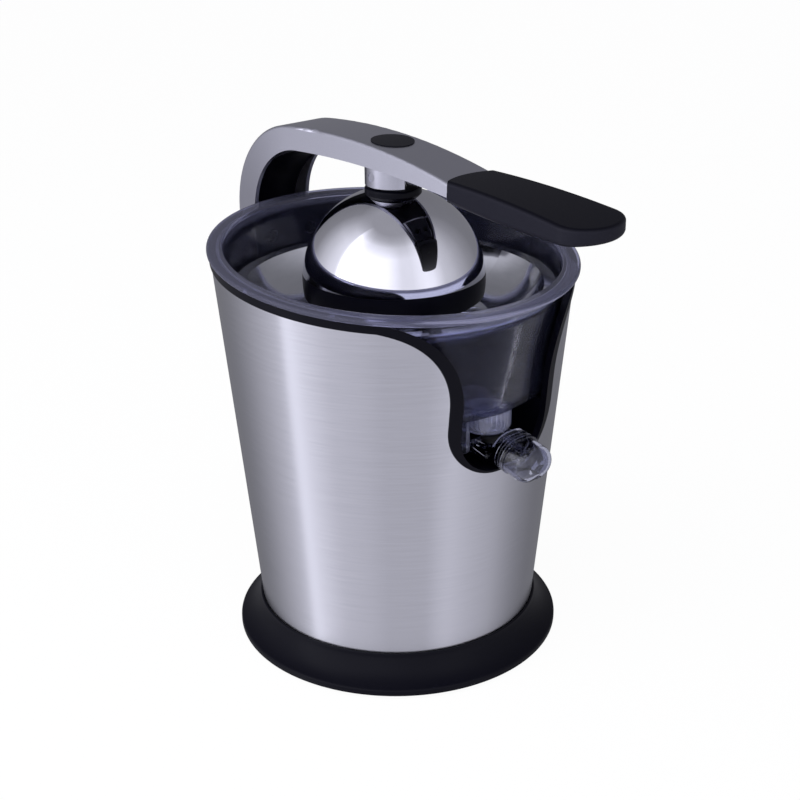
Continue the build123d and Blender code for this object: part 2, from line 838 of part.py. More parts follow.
def stem_cap():
    disc = rod(cap_radius, stem_bottom, arm_top + arm_skin)
    return (disc & crown_prism(-reach, reach, 0, -cap_proud)) - crown_prism(-reach, reach, 0, cap_depth)


def arm_path():
    start = hinge_z - 2 * leg_round
    crown_end = degrees(acos((2 * grip_rear - crown_y) / crown_radius))
    return Plane.YZ * Wire([
        Line((leg_back, start), (leg_back, bend_z)),
        CenterArc((bend_y, bend_z), bend_radius, 0, bend_angle),
        CenterArc((crown_y, arm_top - crown_radius), crown_radius, bend_angle, crown_end - bend_angle)])


def arm_sweep(side_inset, top_inset, corner):
    """Drafted channel section, its top corners rounded, carried along the arm's outer line."""
    deep = bend_radius - leg_round
    start = Plane(origin=(0, leg_back, hinge_z - 2 * leg_round), x_dir=(1, 0, 0), z_dir=(0, 0, 1))
    near = arm_half + arm_draft * top_inset - side_inset
    far = arm_half + arm_draft * deep - side_inset
    section = make_face(Polyline(
        (-near, -top_inset), (near, -top_inset), (far, -deep), (-far, -deep), close=True))
    section = fillet(section.vertices().sort_by(Axis.Y)[-2:], corner)
    return sweep(start * section, path=arm_path())


def arm_outline():
    """Side outline of the arm: lower edge, inside of the bend, leg and the round at the hinge."""
    front = 2 * grip_rear - tang_rear
    ceiling = arm_top + leg_round
    behind = leg_back + leg_round
    under = CenterArc((under_y, under_top - under_radius), under_radius, mouth_angle,
                      degrees(acos((front - under_y) / under_radius)) - mouth_angle)
    outline = [
        under,
        CenterArc((mouth_y, mouth_z), under_bend, 0, mouth_angle),
        Line((leg_front, mouth_z), (leg_front, hinge_z)),
        CenterArc((hinge_y, hinge_z), leg_round, 180, 180),
        *chain((leg_back, hinge_z), (behind, hinge_z), (behind, ceiling), (front, ceiling),
               (front, under_z(front))),
    ]
    return extrude(Plane.YZ * make_face(Wire(outline)), reach, both=True)


def arm_shell():
    arm = arm_sweep(0, 0, arm_round) & arm_outline()
    arm -= arm_sweep(arm_side, arm_skin, arm_round / 2)
    gap_half = arm_half - arm_side
    arm -= block(-gap_half, gap_half, hinge_y, leg_back + leg_round, hinge_z - 2 * leg_round, hinge_z)
    arm -= rod(grip_rear_radius + slip, under_top - leg_round, arm_top, 0, grip_rear - grip_rear_radius)
    arm -= cross_rod(hinge_pin_radius, -reach, reach, hinge_y, hinge_z)
    pocket = rod(cap_radius + run_fit, under_top, arm_top + arm_skin)
    arm -= pocket - crown_prism(-reach, reach, 0, cap_depth)
    head_room = rod(stem_screw_head + run_fit, under_top, arm_top)
    arm -= head_room - crown_prism(-reach, reach, 0, arm_skin - cap_depth)
    arm -= rod(stem_screw_radius, under_top, arm_top)
    for x in tang_screw_xs():
        arm -= rod(grip_screw_radius, under_top, tang_screw_end(), x, tang_screw_y())
    return arm


def arm_liner():
    near = leg_front + liner_leg_recess
    far = near + liner_wall
    turn_y = mouth_y - under_bend / 2
    low = under_z(turn_y, liner_recess)
    rise = liner_recess + liner_wall
    high = under_z(turn_y, rise)
    fall = (mouth_z + liner_foot) / 2
    front_low = (liner_front, under_z(liner_front, liner_recess))
    front_high = (liner_front, under_z(liner_front, rise))
    centre = (turn_y, fall)
    under = ThreePointArc(front_low, (under_y, under_z(under_y, liner_recess)), (turn_y, low))
    upper = ThreePointArc((turn_y, high), (under_y, under_z(under_y, rise)), front_high)
    inner = EllipticalCenterArc(centre, near - turn_y, low - fall, 0, arc_size=90)
    outer = EllipticalCenterArc(centre, far - turn_y, high - fall, 0, arc_size=90)
    leg = chain((near, fall), (near, liner_foot), (far, liner_foot), (far, fall))
    face = make_face(Wire([under, inner, *leg, outer, upper, Line(front_high, front_low)]))
    inside = arm_sweep(arm_side + slip, arm_skin + slip, arm_round / 2)
    liner = extrude(Plane.YZ * face, reach, both=True) & inside
    return liner - rod(stem_spigot + slip, stem_bottom, arm_top)


def back_rod(radius, front, back, x, z):
    return Pos(x, (front + back) / 2, z) * Rot(90, 0, 0) * Cylinder(radius, back - front)


def hinge_screw_places():
    heights = (bracket_low + hinge_screw_inset, bracket_high - hinge_screw_inset)
    return [(x, z) for x in (-hinge_screw_x, hinge_screw_x) for z in heights]


def hinge_bracket():
    pad = Plane.XZ * Pos(0, (bracket_low + bracket_high) / 2) * RectangleRounded(
        2 * bracket_half, bracket_high - bracket_low, bracket_round)
    bracket = extrude(pad, -bracket_back)
    lug = block(-lug_half, lug_half, 0, hinge_y, hinge_z - lug_round, hinge_z + lug_round)
    bracket += lug + cross_rod(lug_round, -lug_half, lug_half, hinge_y, hinge_z)
    bracket -= cone_solid(run_fit, shell_seat, bracket_high + bracket_round)
    bracket -= cross_rod(hinge_pin_radius + run_fit, -reach, reach, hinge_y, hinge_z)
    for x, z in hinge_screw_places():
        bracket -= back_rod(screw_radius, 0, bracket_back - slip, x, z)
    return bracket


def hinge_screws():
    screws = []
    for x, z in hinge_screw_places():
        inside = wall_radius(z - screw_head) - shell_wall
        seat = sqrt(inside ** 2 - (abs(x) + screw_head) ** 2) - run_fit
        head = back_rod(screw_head, seat - screw_head_thick, seat, x, z)
        screws.append(head + back_rod(screw_radius, seat, bracket_back - slip, x, z))
    return screws


def cheek_half(depth):
    return arm_half + arm_draft * depth


def hinge_pin():
    half = cheek_half(leg_round - hinge_pin_radius) - slip
    return cross_rod(hinge_pin_radius, -half, half, hinge_y, hinge_z)


def hinge_bushes():
    far = cheek_half(leg_round - hinge_bush_radius) - arm_side - slip
    bushes = []
    for left, right in ((-far, -lug_half), (lug_half, far)):
        washer = cross_rod(hinge_bush_radius - slip, left, right, hinge_y, hinge_z)
        bushes.append(washer - cross_rod(hinge_pin_radius + run_fit, left, right, hinge_y, hinge_z))
    return bushes


def grip_plan(inset):
    """Outline of the grip from above, drawn in by inset."""
    rear_half = grip_rear_half - inset
    rear_y = grip_rear - inset
    side_y = rear_y - grip_rear_radius + sqrt(grip_rear_radius ** 2 - rear_half ** 2)
    front_half = grip_front_half - inset
    tip = grip_tip + inset
    outline = [
        ThreePointArc((-rear_half, side_y), (0, rear_y), (rear_half, side_y)),
        Line((rear_half, side_y), (front_half, grip_shoulder)),
        ThreePointArc((front_half, grip_shoulder), (0, tip), (-front_half, grip_shoulder)),
        Line((-front_half, grip_shoulder), (-rear_half, side_y)),
    ]
    face = make_face(Wire(outline))
    corners = face.vertices().filter_by_position(Axis.Y, grip_shoulder - slip, grip_shoulder + slip)
    return fillet(corners, grip_corner - inset)


def grip_side(top_inset, low_inset):
    """Prism between the grip's top and bottom lines, seen from the side."""
    rear = tang_rear
    front = grip_tip - grip_corner
    top_rear = crown_z(grip_rear) - top_inset
    middle = (rear + front) / 2
    low_rear = under_z(grip_rear) - grip_step + low_inset
    top_start = (rear, top_rear)
    top_end = (front, top_rear - grip_top_fall)
    low_start = (rear, low_rear)
    low_end = (front, low_rear - grip_low_fall)
    top = ThreePointArc(top_start, (middle, top_rear - grip_top_sag), top_end)
    low = ThreePointArc(low_end, (middle, low_rear - grip_belly), low_start)
    face = make_face(Wire([top, Line(top_end, low_end), low, Line(low_start, top_start)]))
    return extrude(Plane.YZ * face, reach, both=True)


def grip_prism(inset):
    return extrude(Plane((0, 0, hinge_z)) * grip_plan(inset), 2 * leg_back)


def grip_cover():
    body = grip_prism(0) & grip_side(0, 0)
    front_half = grip_rear - 2 * grip_rear_sag
    top_face = body.faces().sort_by(Axis.Z)[-1]
    body = fillet([e for e in top_face.edges() if e.center().Y < front_half], grip_top_round)
    low_face = body.faces().sort_by(Axis.Z)[0]
    body = fillet([e for e in low_face.edges() if e.center().Y < front_half], grip_low_round)
    cover = body - (grip_prism(grip_wall) & grip_side(grip_wall, -2 * grip_wall))
    for y in grip_screw_ys:
        boss = rod(2 * grip_screw_radius, hinge_z, arm_top, 0, y)
        cover += boss & grip_side(grip_wall / 2, grip_base_thick)
        cover -= rod(grip_screw_radius, hinge_z, grip_screw_seat(y) + grip_screw_length, 0, y)
    end = grip_rear - grip_wall
    low = slip
    tang = make_face(Wire(chain(
        (end, under_z(end) + low), (tang_rear, under_z(tang_rear) + low),
        (tang_rear, crown_z(tang_rear) - arm_skin - slip), (end, crown_z(end) - arm_skin - slip),
        (end, under_z(end) + low))))
    cover += extrude(Plane.YZ * tang, tang_half, both=True)
    for x in tang_screw_xs():
        cover -= rod(grip_screw_radius, hinge_z, arm_top, x, tang_screw_y())
        cover -= rod(grip_screw_head + run_fit, hinge_z, tang_screw_seat(), x, tang_screw_y())
    return cover


def tang_screw_xs():
    return (-tang_half / 2, tang_half / 2)


def tang_screw_y():
    return (tang_rear + grip_rear) / 2


def tang_screw_seat():
    return under_z(tang_screw_y()) + grip_screw_head


def tang_screw_end():
    return crown_z(tang_screw_y()) - arm_skin / 2


def grip_base():
    plate = grip_prism(grip_wall + slip / 2) & (grip_side(0, 0) - grip_side(-reach, grip_base_thick))
    for y in grip_screw_ys:
        plate -= rod(grip_screw_radius, hinge_z, arm_top, 0, y)
        plate -= rod(grip_screw_head + run_fit, hinge_z, grip_screw_seat(y), 0, y)
    return plate


def grip_low_z(y):
    """Lowest height of the grip's bottom near one of its screws."""
    column = rod(grip_screw_head, hinge_z, arm_top, 0, y) & grip_side(0, 0)
    return column.bounding_box().min.Z


def grip_screw_seat(y):
    return grip_low_z(y) + grip_base_thick / 2


def grip_screws():
    screws = []
    for y in grip_screw_ys:
        seat = grip_screw_seat(y)
        screws.append(screw(grip_screw_head, grip_screw_radius, seat, seat + grip_screw_length,
                            grip_base_thick / 3, 0, y))
    screws += [screw(grip_screw_head, grip_screw_radius, tang_screw_seat(), tang_screw_end(),
                     grip_screw_head / 2, x, tang_screw_y()) for x in tang_screw_xs()]
    return screws


def motor_frame():
    frame = rod(frame_radius, frame_low, frame_high)
    for x, y in spread(4, post_circle):
        frame += rod(post_radius, plate_top, frame_low, x, y)
        frame -= rod(screw_radius, plate_top, plate_top + 3 * screw_head, x, y)
    for x, y in spread(4, cover_post_circle, 45):
        frame -= rod(screw_radius, frame_low, frame_high, x, y)
    for x, y in spread(4, bolt_circle, 45):
        frame -= rod(screw_radius, frame_low, frame_low + frame_thick / 2, x, y)
    frame -= rod(idler_pin_radius, frame_low, frame_high, centre_distance)
    return frame - rod(motor_shaft_radius + bush_wall, frame_low, frame_high)


def motor_stator():
    stack = tube(stator_radius, stator_inner, stator_low, stator_high)
    for i in range(4):
        pole = block(rotor_radius, stator_inner + slip, -pole_half, pole_half, stator_low, stator_high)
        stack += Rot(0, 0, 90 * i) * pole
    stack -= rod(rotor_radius + air_gap, stator_low, stator_high)
    for x, y in spread(4, bolt_circle, 45):
        stack -= rod(screw_radius, stator_low, stator_high, x, y)
    return stack


def motor_coils():
    coils = []
    inner = rotor_radius + 4 * air_gap
    outer = sqrt(stator_inner ** 2 - (pole_half + coil_thick) ** 2) - slip
    for i in range(4):
        coil = block(inner, outer, -pole_half - coil_thick, pole_half + coil_thick,
                     stator_low - coil_thick, stator_high + coil_thick)
        coil -= block(inner, outer, -pole_half - slip, pole_half + slip,
                      stator_low - slip, stator_high + slip)
        coils.append(Rot(0, 0, 90 * i) * coil)
    return coils


def motor_bridge():
    bridge = rod(stator_radius, bridge_low, bridge_low + bridge_thick)
    bridge -= rod(motor_shaft_radius + bush_wall, bridge_low, bridge_low + bridge_thick)
    for x, y in spread(4, bolt_circle, 45):
        bridge += rod(2 * screw_radius, bridge_low + bridge_thick, stator_low, x, y)
        bridge -= rod(screw_radius, bridge_low, stator_low, x, y)
    return bridge


def motor_bolts():
    bolts = []
    for x, y in spread(4, bolt_circle, 45):
        end = frame_low + frame_thick / 2
        bolt = screw(screw_head, screw_radius, bridge_low, end, screw_head_thick, x, y)
        bolts.append(bolt + tube(2 * screw_radius, screw_radius, stator_high, frame_low, x, y))
    return bolts


def motor_bushes():
    bore = motor_shaft_radius + run_fit
    outer = motor_shaft_radius + bush_wall
    return [tube(outer, bore, bridge_low, bridge_low + bridge_thick),
            tube(outer, bore, frame_low, frame_high)]


def motor_rotor():
    core = rod(rotor_radius, stator_low, stator_high)
    return core + rod(motor_shaft_radius, motor_shaft_low, pinion_high)


def gear(teeth, low, high, turn=0.0):
    """Spur gear with involute flanks, a tooth on +X before it is turned."""
    pitch = gear_module * teeth / 2
    pressure = radians(pressure_angle)
    base = pitch * cos(pressure)
    tip = pitch + gear_addendum * gear_module
    root = pitch - gear_dedendum * gear_module
    half_tooth = (pi * gear_module / 2 - gear_backlash) / (2 * pitch) + tan(pressure) - pressure
    flank = []
    for radius in (root, (root + pitch) / 2, pitch, tip):
        lean = acos(min(1, base / radius))
        flank.append((radius, half_tooth - tan(lean) + lean))
    points = []
    for i in range(teeth):
        middle = 2 * pi * i / teeth
        rising = [(r, middle - a) for r, a in flank]
        falling = [(r, middle + a) for r, a in reversed(flank)]
        points += [(r * cos(a), r * sin(a)) for r, a in rising + falling]
    face = make_face(Polyline(*points, close=True))
    return Rot(0, 0, turn) * extrude(Plane((0, 0, low)) * face, high - low)


def motor_pinion():
    return gear(pinion_teeth, pinion_low, pinion_high, 180 / pinion_teeth) - rod(
        motor_shaft_radius, pinion_low, pinion_high)


def idler_gear():
    wheel_top = idler_low + idler_face
    wheel = gear(wheel_teeth, idler_low, wheel_top)
    pinion = gear(pinion_teeth, wheel_top, idler_high, 180 / pinion_teeth)
    cluster = wheel + pinion - rod(idler_pin_radius + run_fit, idler_low, idler_high)
    return Pos(centre_distance, 0, 0) * cluster


def idler_pin():
    return rod(idler_pin_radius, frame_low, cover_top, centre_distance)


def square_bore(low, high, play):
    half = shaft_square / 2 + play
    return block(-half, half, -half, half, low, high)


def output_gear():
    hub = gear(wheel_teeth, output_low, output_low + output_face)
    hub += rod(hub_radius, output_low + output_face, hub_top)
    return hub - square_bore(output_low, hub_top, run_fit)


def output_bush():
    low = output_low + output_face + slip
    high = cover_top + slip
    flange = tube(hub_radius + 2 * cover_bush_wall, hub_radius + run_fit, low, cover_low)
    return flange + tube(hub_radius + cover_bush_wall, hub_radius + run_fit, cover_low, high)


def hub_clip():
    low = cover_top + 2 * slip
    return tube(hub_radius + cover_bush_wall, hub_radius, low, low + clip_thick)


def gearbox_cover():
    cover = rod(cover_radius, cover_low, cover_top)
    for x, y in spread(4, cover_post_circle, 45):
        cover += rod(cover_post_radius, frame_high, cover_low, x, y)
        cover -= rod(screw_radius, frame_high, cover_top, x, y)
    for x, y in spread(4, deck_post_circle):
        cover -= rod(screw_radius, cover_low, cover_top, x, y)
    cover -= rod(idler_pin_radius, cover_low, cover_top, centre_distance)
    return cover - rod(hub_radius + cover_bush_wall, cover_low, cover_top)


def gearbox_screws():
    return [screw(screw_head, screw_radius, cover_top, frame_low, screw_head_thick, x, y)
            for x, y in spread(4, cover_post_circle, 45)]


def drive_shaft():
    shaft = square_bore(shaft_low, shaft_round_low, 0)
    shaft += rod(shaft_radius, shaft_round_low, cone_cavity_top)
    return shaft + square_bore(cone_cavity_top, shaft_top, 0)


def shaft_collar():
    high = collar_low + collar_thick
    return rod(collar_radius, collar_low, high) - square_bore(collar_low, high, 0)


def return_spring():
    """Coil between the hub and the shaft's collar, each quarter turn two arcs that run on smoothly."""
    low = hub_top + spring_wire + slip
    high = collar_low - spring_wire - slip
    steps = 4 * spring_turns
    turn = 2 * pi * spring_turns
    climb = (high - low) / turn
    places = []
    for i in range(steps + 1):
        a = turn * i / steps
        place = Vector(spring_radius * cos(a), spring_radius * sin(a), low + climb * a)
        heading = Vector(-spring_radius * sin(a), spring_radius * cos(a), climb).normalized()
        places.append((place, heading))
    edges = []
    for (start, out), (end, into) in zip(places, places[1:]):
        chord = end - start
        along = chord.dot(out + into)
        spare = 2 * (1 - out.dot(into))
        reach_out = (sqrt(along ** 2 + spare * chord.dot(chord)) - along) / spare
        middle = (start + end + (out - into) * reach_out) * 0.5
        first = TangentArc(start, middle, tangent=out)
        edges += [first, TangentArc(middle, end, tangent=first % 1)]
    gap = 2 * pi * climb - 2 * spring_wire
    print("return spring: least gap between turns", round(gap, 2), "mm")
    section = Plane(origin=places[0][0], z_dir=places[0][1]) * Circle(spring_wire)
    return sweep(section, path=Wire(edges))


def start_switch():
    back = switch_y + plunger_radius + slip
    top = cover_top + switch_height
    body = block(-switch_half, switch_half, back - switch_depth, back, cover_top, top)
    return body - rod(plunger_radius + run_fit, cover_top + switch_floor, top, 0, switch_y)


def switch_plunger():
    low = cover_top + switch_floor + press_travel + slip
    return rod(plunger_radius, low, collar_low - slip, 0, switch_y)


pieces = {
    "base_foot": base_foot, "base_plate": base_plate, "rubber_feet": rubber_feet,
    "base_screws": base_screws, "cord_gland": cord_gland, "body_shell": body_shell,
    "body_trim": body_trim, "inner_sleeve": inner_sleeve, "spout_bay": spout_bay,
    "splash_deck": splash_deck, "deck_screws": deck_screws, "tower_bush": tower_bush,
    "shaft_seal": shaft_seal, "juice_bowl": juice_bowl, "spout_pin": spout_pin,
    "drip_spout": drip_spout, "spout_plug": spout_plug, "strainer": strainer,
    "juicing_cone": juicing_cone, "press_dome": press_dome, "press_cup": press_cup,
    "press_bolt": press_bolt, "press_nut": press_nut, "press_collar": press_collar,
    "press_pin": press_pin, "press_stem": press_stem, "stem_screw": stem_screw,
    "stem_cap": stem_cap, "arm_shell": arm_shell, "arm_liner": arm_liner,
    "hinge_bracket": hinge_bracket, "hinge_screws": hinge_screws, "hinge_pin": hinge_pin,
    "hinge_bushes": hinge_bushes, "grip_cover": grip_cover, "grip_base": grip_base,
    "grip_screws": grip_screws, "motor_frame": motor_frame, "motor_stator": motor_stator,
    "motor_coils": motor_coils, "motor_bridge": motor_bridge, "motor_bolts": motor_bolts,
    "motor_bushes": motor_bushes, "motor_rotor": motor_rotor, "motor_pinion": motor_pinion,
    "idler_gear": idler_gear, "idler_pin": idler_pin, "output_gear": output_gear,
    "output_bush": output_bush, "hub_clip": hub_clip, "gearbox_cover": gearbox_cover,
    "gearbox_screws": gearbox_screws, "drive_shaft": drive_shaft, "shaft_collar": shaft_collar,
    "return_spring": return_spring, "start_switch": start_switch, "switch_plunger": switch_plunger,
}

os.makedirs("parts", exist_ok=True)
for name, make in pieces.items():
    shape = make()
    if isinstance(shape, list):
        shape = Compound(children=shape)
    export_step(shape, f"parts/{name}.step")
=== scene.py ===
import json
from math import acos, asin, atan2, ceil, cos, pi, radians, sin, tan

import bmesh
import bpy
from mathutils import Matrix, Vector


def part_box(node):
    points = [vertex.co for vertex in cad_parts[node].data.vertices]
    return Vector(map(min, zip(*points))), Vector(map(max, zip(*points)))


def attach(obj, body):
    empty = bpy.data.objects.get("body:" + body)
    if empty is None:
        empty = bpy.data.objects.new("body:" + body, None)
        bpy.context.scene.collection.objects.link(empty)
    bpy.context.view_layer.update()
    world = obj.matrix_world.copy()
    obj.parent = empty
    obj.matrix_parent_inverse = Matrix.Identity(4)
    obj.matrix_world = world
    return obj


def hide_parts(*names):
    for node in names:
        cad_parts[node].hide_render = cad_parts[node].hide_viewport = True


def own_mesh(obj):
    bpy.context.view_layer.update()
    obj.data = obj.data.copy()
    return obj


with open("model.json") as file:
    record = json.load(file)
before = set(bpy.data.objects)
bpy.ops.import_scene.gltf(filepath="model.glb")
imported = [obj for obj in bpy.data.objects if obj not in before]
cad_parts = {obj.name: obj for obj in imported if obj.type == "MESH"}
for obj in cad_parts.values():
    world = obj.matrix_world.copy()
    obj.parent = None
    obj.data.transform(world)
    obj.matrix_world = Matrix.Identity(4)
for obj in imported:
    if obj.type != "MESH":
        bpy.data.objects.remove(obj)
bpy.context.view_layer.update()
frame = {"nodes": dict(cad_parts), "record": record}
nodes = frame["nodes"]
mm = 0.001
print("frame loaded:", len(nodes), "nodes")

# body: what the foot, the bowl and the clear rim's finish share, in millimetres and degrees
body = {"radius": 78.6, "seat": 17.0, "draft": 0.094, "rimTilt": 5.0, "trimTop": 222.3}


def linear(code):
    parts = [int(code[i:i + 2], 16) / 255 for i in (1, 3, 5)]
    return tuple(c / 12.92 if c <= 0.04045 else ((c + 0.055) / 1.055) ** 2.4 for c in parts) + (1.0,)


def addNode(tree, kind, inputs=None, **settings):
    node = tree.nodes.new(kind)
    for key, value in settings.items():
        setattr(node, key, value)
    for key, value in (inputs or {}).items():
        if isinstance(value, bpy.types.NodeSocket):
            tree.links.new(value, node.inputs[key])
        else:
            node.inputs[key].default_value = value
    return node


# camera: the photograph's own view, lengths in millimetres
cameraView = {"position": (-487.0, -580.4, 458.3), "target": (0.0, 0.0, 136.03), "lens": 66.1, "sensor": 36.0,
              "roll": -0.625, "shift": 0.0056, "nearest": 10.0}


def placeCamera():
    data = bpy.data.cameras.new("camera")
    data.lens = cameraView["lens"]
    data.sensor_width = cameraView["sensor"]
    data.shift_x = cameraView["shift"]
    data.clip_start = cameraView["nearest"] * mm
    camera = bpy.data.objects.new("camera", data)
    bpy.context.scene.collection.objects.link(camera)
    position = Vector(cameraView["position"])
    back = (position - Vector(cameraView["target"])).normalized()
    right = Vector((0, 0, 1)).cross(back).normalized()
    up = back.cross(right)
    roll = radians(cameraView["roll"])
    turnedRight = right * cos(roll) + up * sin(roll)
    turnedUp = up * cos(roll) - right * sin(roll)
    turn = Matrix((turnedRight, turnedUp, back)).transposed().to_4x4()
    camera.matrix_world = Matrix.Translation(position * mm) @ turn
    bpy.context.scene.camera = camera


placeCamera()

# studio: bearings are in degrees from +X towards +Y, and a tone is the brightness that a mirror shows there.
# The sweep reaches all round, the window is a bright cloth between two heights on the left, the roof is dim
sweepTones = [(0, 0.24), (45, 0.20), (80, 0.23), (99, 0.29), (113, 0.40), (129, 0.58), (142, 0.76), (150.5, 0.86),
              (152.5, 1.50), (158, 1.38), (164, 1.14), (172, 1.0), (184, 0.82), (195, 0.78), (207, 0.74), (222, 0.66),
              (254, 0.66), (263, 0.78), (272, 0.86), (287, 0.75), (298, 0.68), (311, 0.62), (324, 0.48), (340, 0.34)]
windowTones = [(0, 0.0), (100, 0.0), (122, 0.15), (140, 0.20), (148, 0.20), (157, 0.8), (222, 0.75), (240, 0.36),
               (281, 0.36), (296, 0.06), (312, 0.0)]
studio = {"tint": (0.98, 0.98, 1.07), "strength": 1.5, "roofTone": 0.40, "roofStart": 0.80, "roofEnd": 0.94,
          "windowLow": (-0.14, -0.05), "windowHigh": (0.62, 0.88), "floorRadius": 9.0, "floorSides": 96,
          "floorShare": 0.96, "floorColour": "#F8F8F8"}


def tinted(tone):
    return tuple(c * tone / studio["strength"] for c in studio["tint"]) + (1.0,)


def buildWorld(scene):
    world = bpy.data.worlds.new("studio sweep")
    scene.world = world
    world.use_nodes = True
    tree = world.node_tree
    tree.nodes.clear()
    place = addNode(tree, "ShaderNodeTexCoord").outputs["Generated"]
    parts = addNode(tree, "ShaderNodeSeparateXYZ", {0: place}).outputs
    bearing = addNode(tree, "ShaderNodeMath", {0: parts["Y"], 1: parts["X"]}, operation="ARCTAN2")
    turn = addNode(tree, "ShaderNodeMath", {0: bearing.outputs[0], 1: 2 * pi}, operation="DIVIDE")
    share = addNode(tree, "ShaderNodeMath", {0: turn.outputs[0]}, operation="FRACT")
    ramps = []
    for tones in (sweepTones, windowTones):
        ramp = addNode(tree, "ShaderNodeValToRGB", {0: share.outputs[0]})
        stops = ramp.color_ramp.elements
        for stop, position in zip(stops, (0.0, 1.0)):  # both ends are the same bearing
            stop.position = position
            stop.color = tinted(tones[0][1])
        for degrees, tone in tones[1:]:
            stops.new(degrees / 360).color = tinted(tone)
        ramps.append(ramp.outputs["Color"])
    low, high = studio["windowLow"], studio["windowHigh"]
    rising = addNode(tree, "ShaderNodeMapRange", {"Value": parts["Z"], "From Min": low[0], "From Max": low[1]})
    falling = addNode(tree, "ShaderNodeMapRange", {"Value": parts["Z"], "From Min": high[1], "From Max": high[0]})
    between = addNode(tree, "ShaderNodeMath", {0: rising.outputs[0], 1: falling.outputs[0]}, operation="MULTIPLY")
    walls = addNode(tree, "ShaderNodeMix", {"Factor": between.outputs[0], "A": ramps[0], "B": ramps[1]},
                    data_type="RGBA", blend_type="ADD", clamp_result=False)
    over = addNode(tree, "ShaderNodeMapRange", {"Value": parts["Z"], "From Min": studio["roofStart"],
                                                "From Max": studio["roofEnd"]})
    room = addNode(tree, "ShaderNodeMix", {"Factor": over.outputs[0], "A": walls.outputs["Result"],
                                           "B": tinted(studio["roofTone"])}, data_type="RGBA")
    rays = addNode(tree, "ShaderNodeLightPath").outputs
    seen = addNode(tree, "ShaderNodeMath", {0: rays["Is Camera Ray"], 1: rays["Is Transmission Ray"]},
                   operation="MAXIMUM")
    lit = addNode(tree, "ShaderNodeBackground", {"Color": room.outputs["Result"], "Strength": studio["strength"]})
    white = addNode(tree, "ShaderNodeBackground", {"Color": (1, 1, 1, 1), "Strength": 1.0})
    both = addNode(tree, "ShaderNodeMixShader", {0: seen.outputs[0], 1: lit.outputs[0], 2: white.outputs[0]})
    addNode(tree, "ShaderNodeOutputWorld", {"Surface": both.outputs[0]})


# floor: a white card that keeps a faint shadow; metal sees the sweep in its place
def buildFloor(scene):
    material = bpy.data.materials.new("white card")
    material.use_nodes = True
    tree = material.node_tree
    tree.nodes.clear()
    rays = addNode(tree, "ShaderNodeLightPath").outputs
    seen = addNode(tree, "ShaderNodeMath", {0: rays["Is Camera Ray"], 1: rays["Is Transmission Ray"]},
                   operation="MAXIMUM")
    share = addNode(tree, "ShaderNodeMath", {0: seen.outputs[0], 1: studio["floorShare"]}, operation="MULTIPLY")
    card = addNode(tree, "ShaderNodeBsdfDiffuse", {"Color": linear(studio["floorColour"])})
    glow = addNode(tree, "ShaderNodeEmission", {"Color": (1, 1, 1, 1), "Strength": 1.0})
    shown = addNode(tree, "ShaderNodeMixShader", {0: share.outputs[0], 1: card.outputs[0], 2: glow.outputs[0]})
    addNode(tree, "ShaderNodeOutputMaterial", {"Surface": shown.outputs[0]})
    edit = bmesh.new()
    bmesh.ops.create_circle(edit, cap_ends=True, radius=studio["floorRadius"], segments=studio["floorSides"])
    mesh = bpy.data.meshes.new("floor")
    edit.to_mesh(mesh)
    edit.free()
    mesh.materials.append(material)
    floor = bpy.data.objects.new("floor", mesh)
    floor.visible_glossy = False
    scene.collection.objects.link(floor)


# lamps: places and sizes in metres, power in watts, all turned to one point in the body
softLamps = {"overhead softbox": {"place": (-0.5, -0.3, 1.3), "size": 0.9, "power": 7.0},
             "left softbox": {"place": (-1.2, 0.3, 0.6), "size": 0.7, "power": 5.0}}
lampAim = (0, 0, 0.15)


def hangLamps(scene):
    for name, lamp in softLamps.items():
        data = bpy.data.lights.new(name, "AREA")
        data.shape = "SQUARE"
        data.size = lamp["size"]
        data.energy = lamp["power"]
        hung = bpy.data.objects.new(name, data)
        hung.location = lamp["place"]
        hung.rotation_euler = (Vector(lamp["place"]) - Vector(lampAim)).to_track_quat("Z", "Y").to_euler()
        hung.visible_glossy = False
        scene.collection.objects.link(hung)


bpy.context.scene.view_settings.view_transform = "Standard"
buildWorld(bpy.context.scene)
buildFloor(bpy.context.scene)
hangLamps(bpy.context.scene)
print("camera and studio set")

# finishes: a grain is a noise of this many millimetres, stretched by (x, y, z), that moves colour, roughness and bump
grainNoise = {"detail": 3.0, "low": 0.3, "high": 0.7}  # the noise seldom leaves low to high


def makeFinish(name, dark, light, rough, grain, stretch=(1, 1, 1), bump=0.0, metallic=0.0, **sockets):
    material = bpy.data.materials.new(name)
    material.use_nodes = True
    tree = material.node_tree
    shader = tree.nodes["Principled BSDF"]
    place = addNode(tree, "ShaderNodeTexCoord").outputs["Object"]
    scale = tuple(1 / (grain * mm * s) for s in stretch)
    placed = addNode(tree, "ShaderNodeMapping", {"Vector": place, "Scale": scale})
    noise = addNode(tree, "ShaderNodeTexNoise", {"Vector": placed.outputs[0], "Scale": 1.0,
                                                 "Detail": grainNoise["detail"]}).outputs["Fac"]
    tone = addNode(tree, "ShaderNodeMix", {"Factor": noise, "A": linear(dark), "B": linear(light)}, data_type="RGBA")
    tree.links.new(tone.outputs["Result"], shader.inputs["Base Color"])
    gloss = addNode(tree, "ShaderNodeMapRange", {"Value": noise, "From Min": grainNoise["low"],
                                                 "From Max": grainNoise["high"], "To Min": rough[0],
                                                 "To Max": rough[1]})
    tree.links.new(gloss.outputs[0], shader.inputs["Roughness"])
    if bump:
        relief = addNode(tree, "ShaderNodeBump", {"Height": noise, "Strength": 1.0, "Distance": bump * mm})
        tree.links.new(relief.outputs[0], shader.inputs["Normal"])
    shader.inputs["Metallic"].default_value = metallic
    for key, value in sockets.items():
        shader.inputs[key.replace("_", " ")].default_value = value
    return material


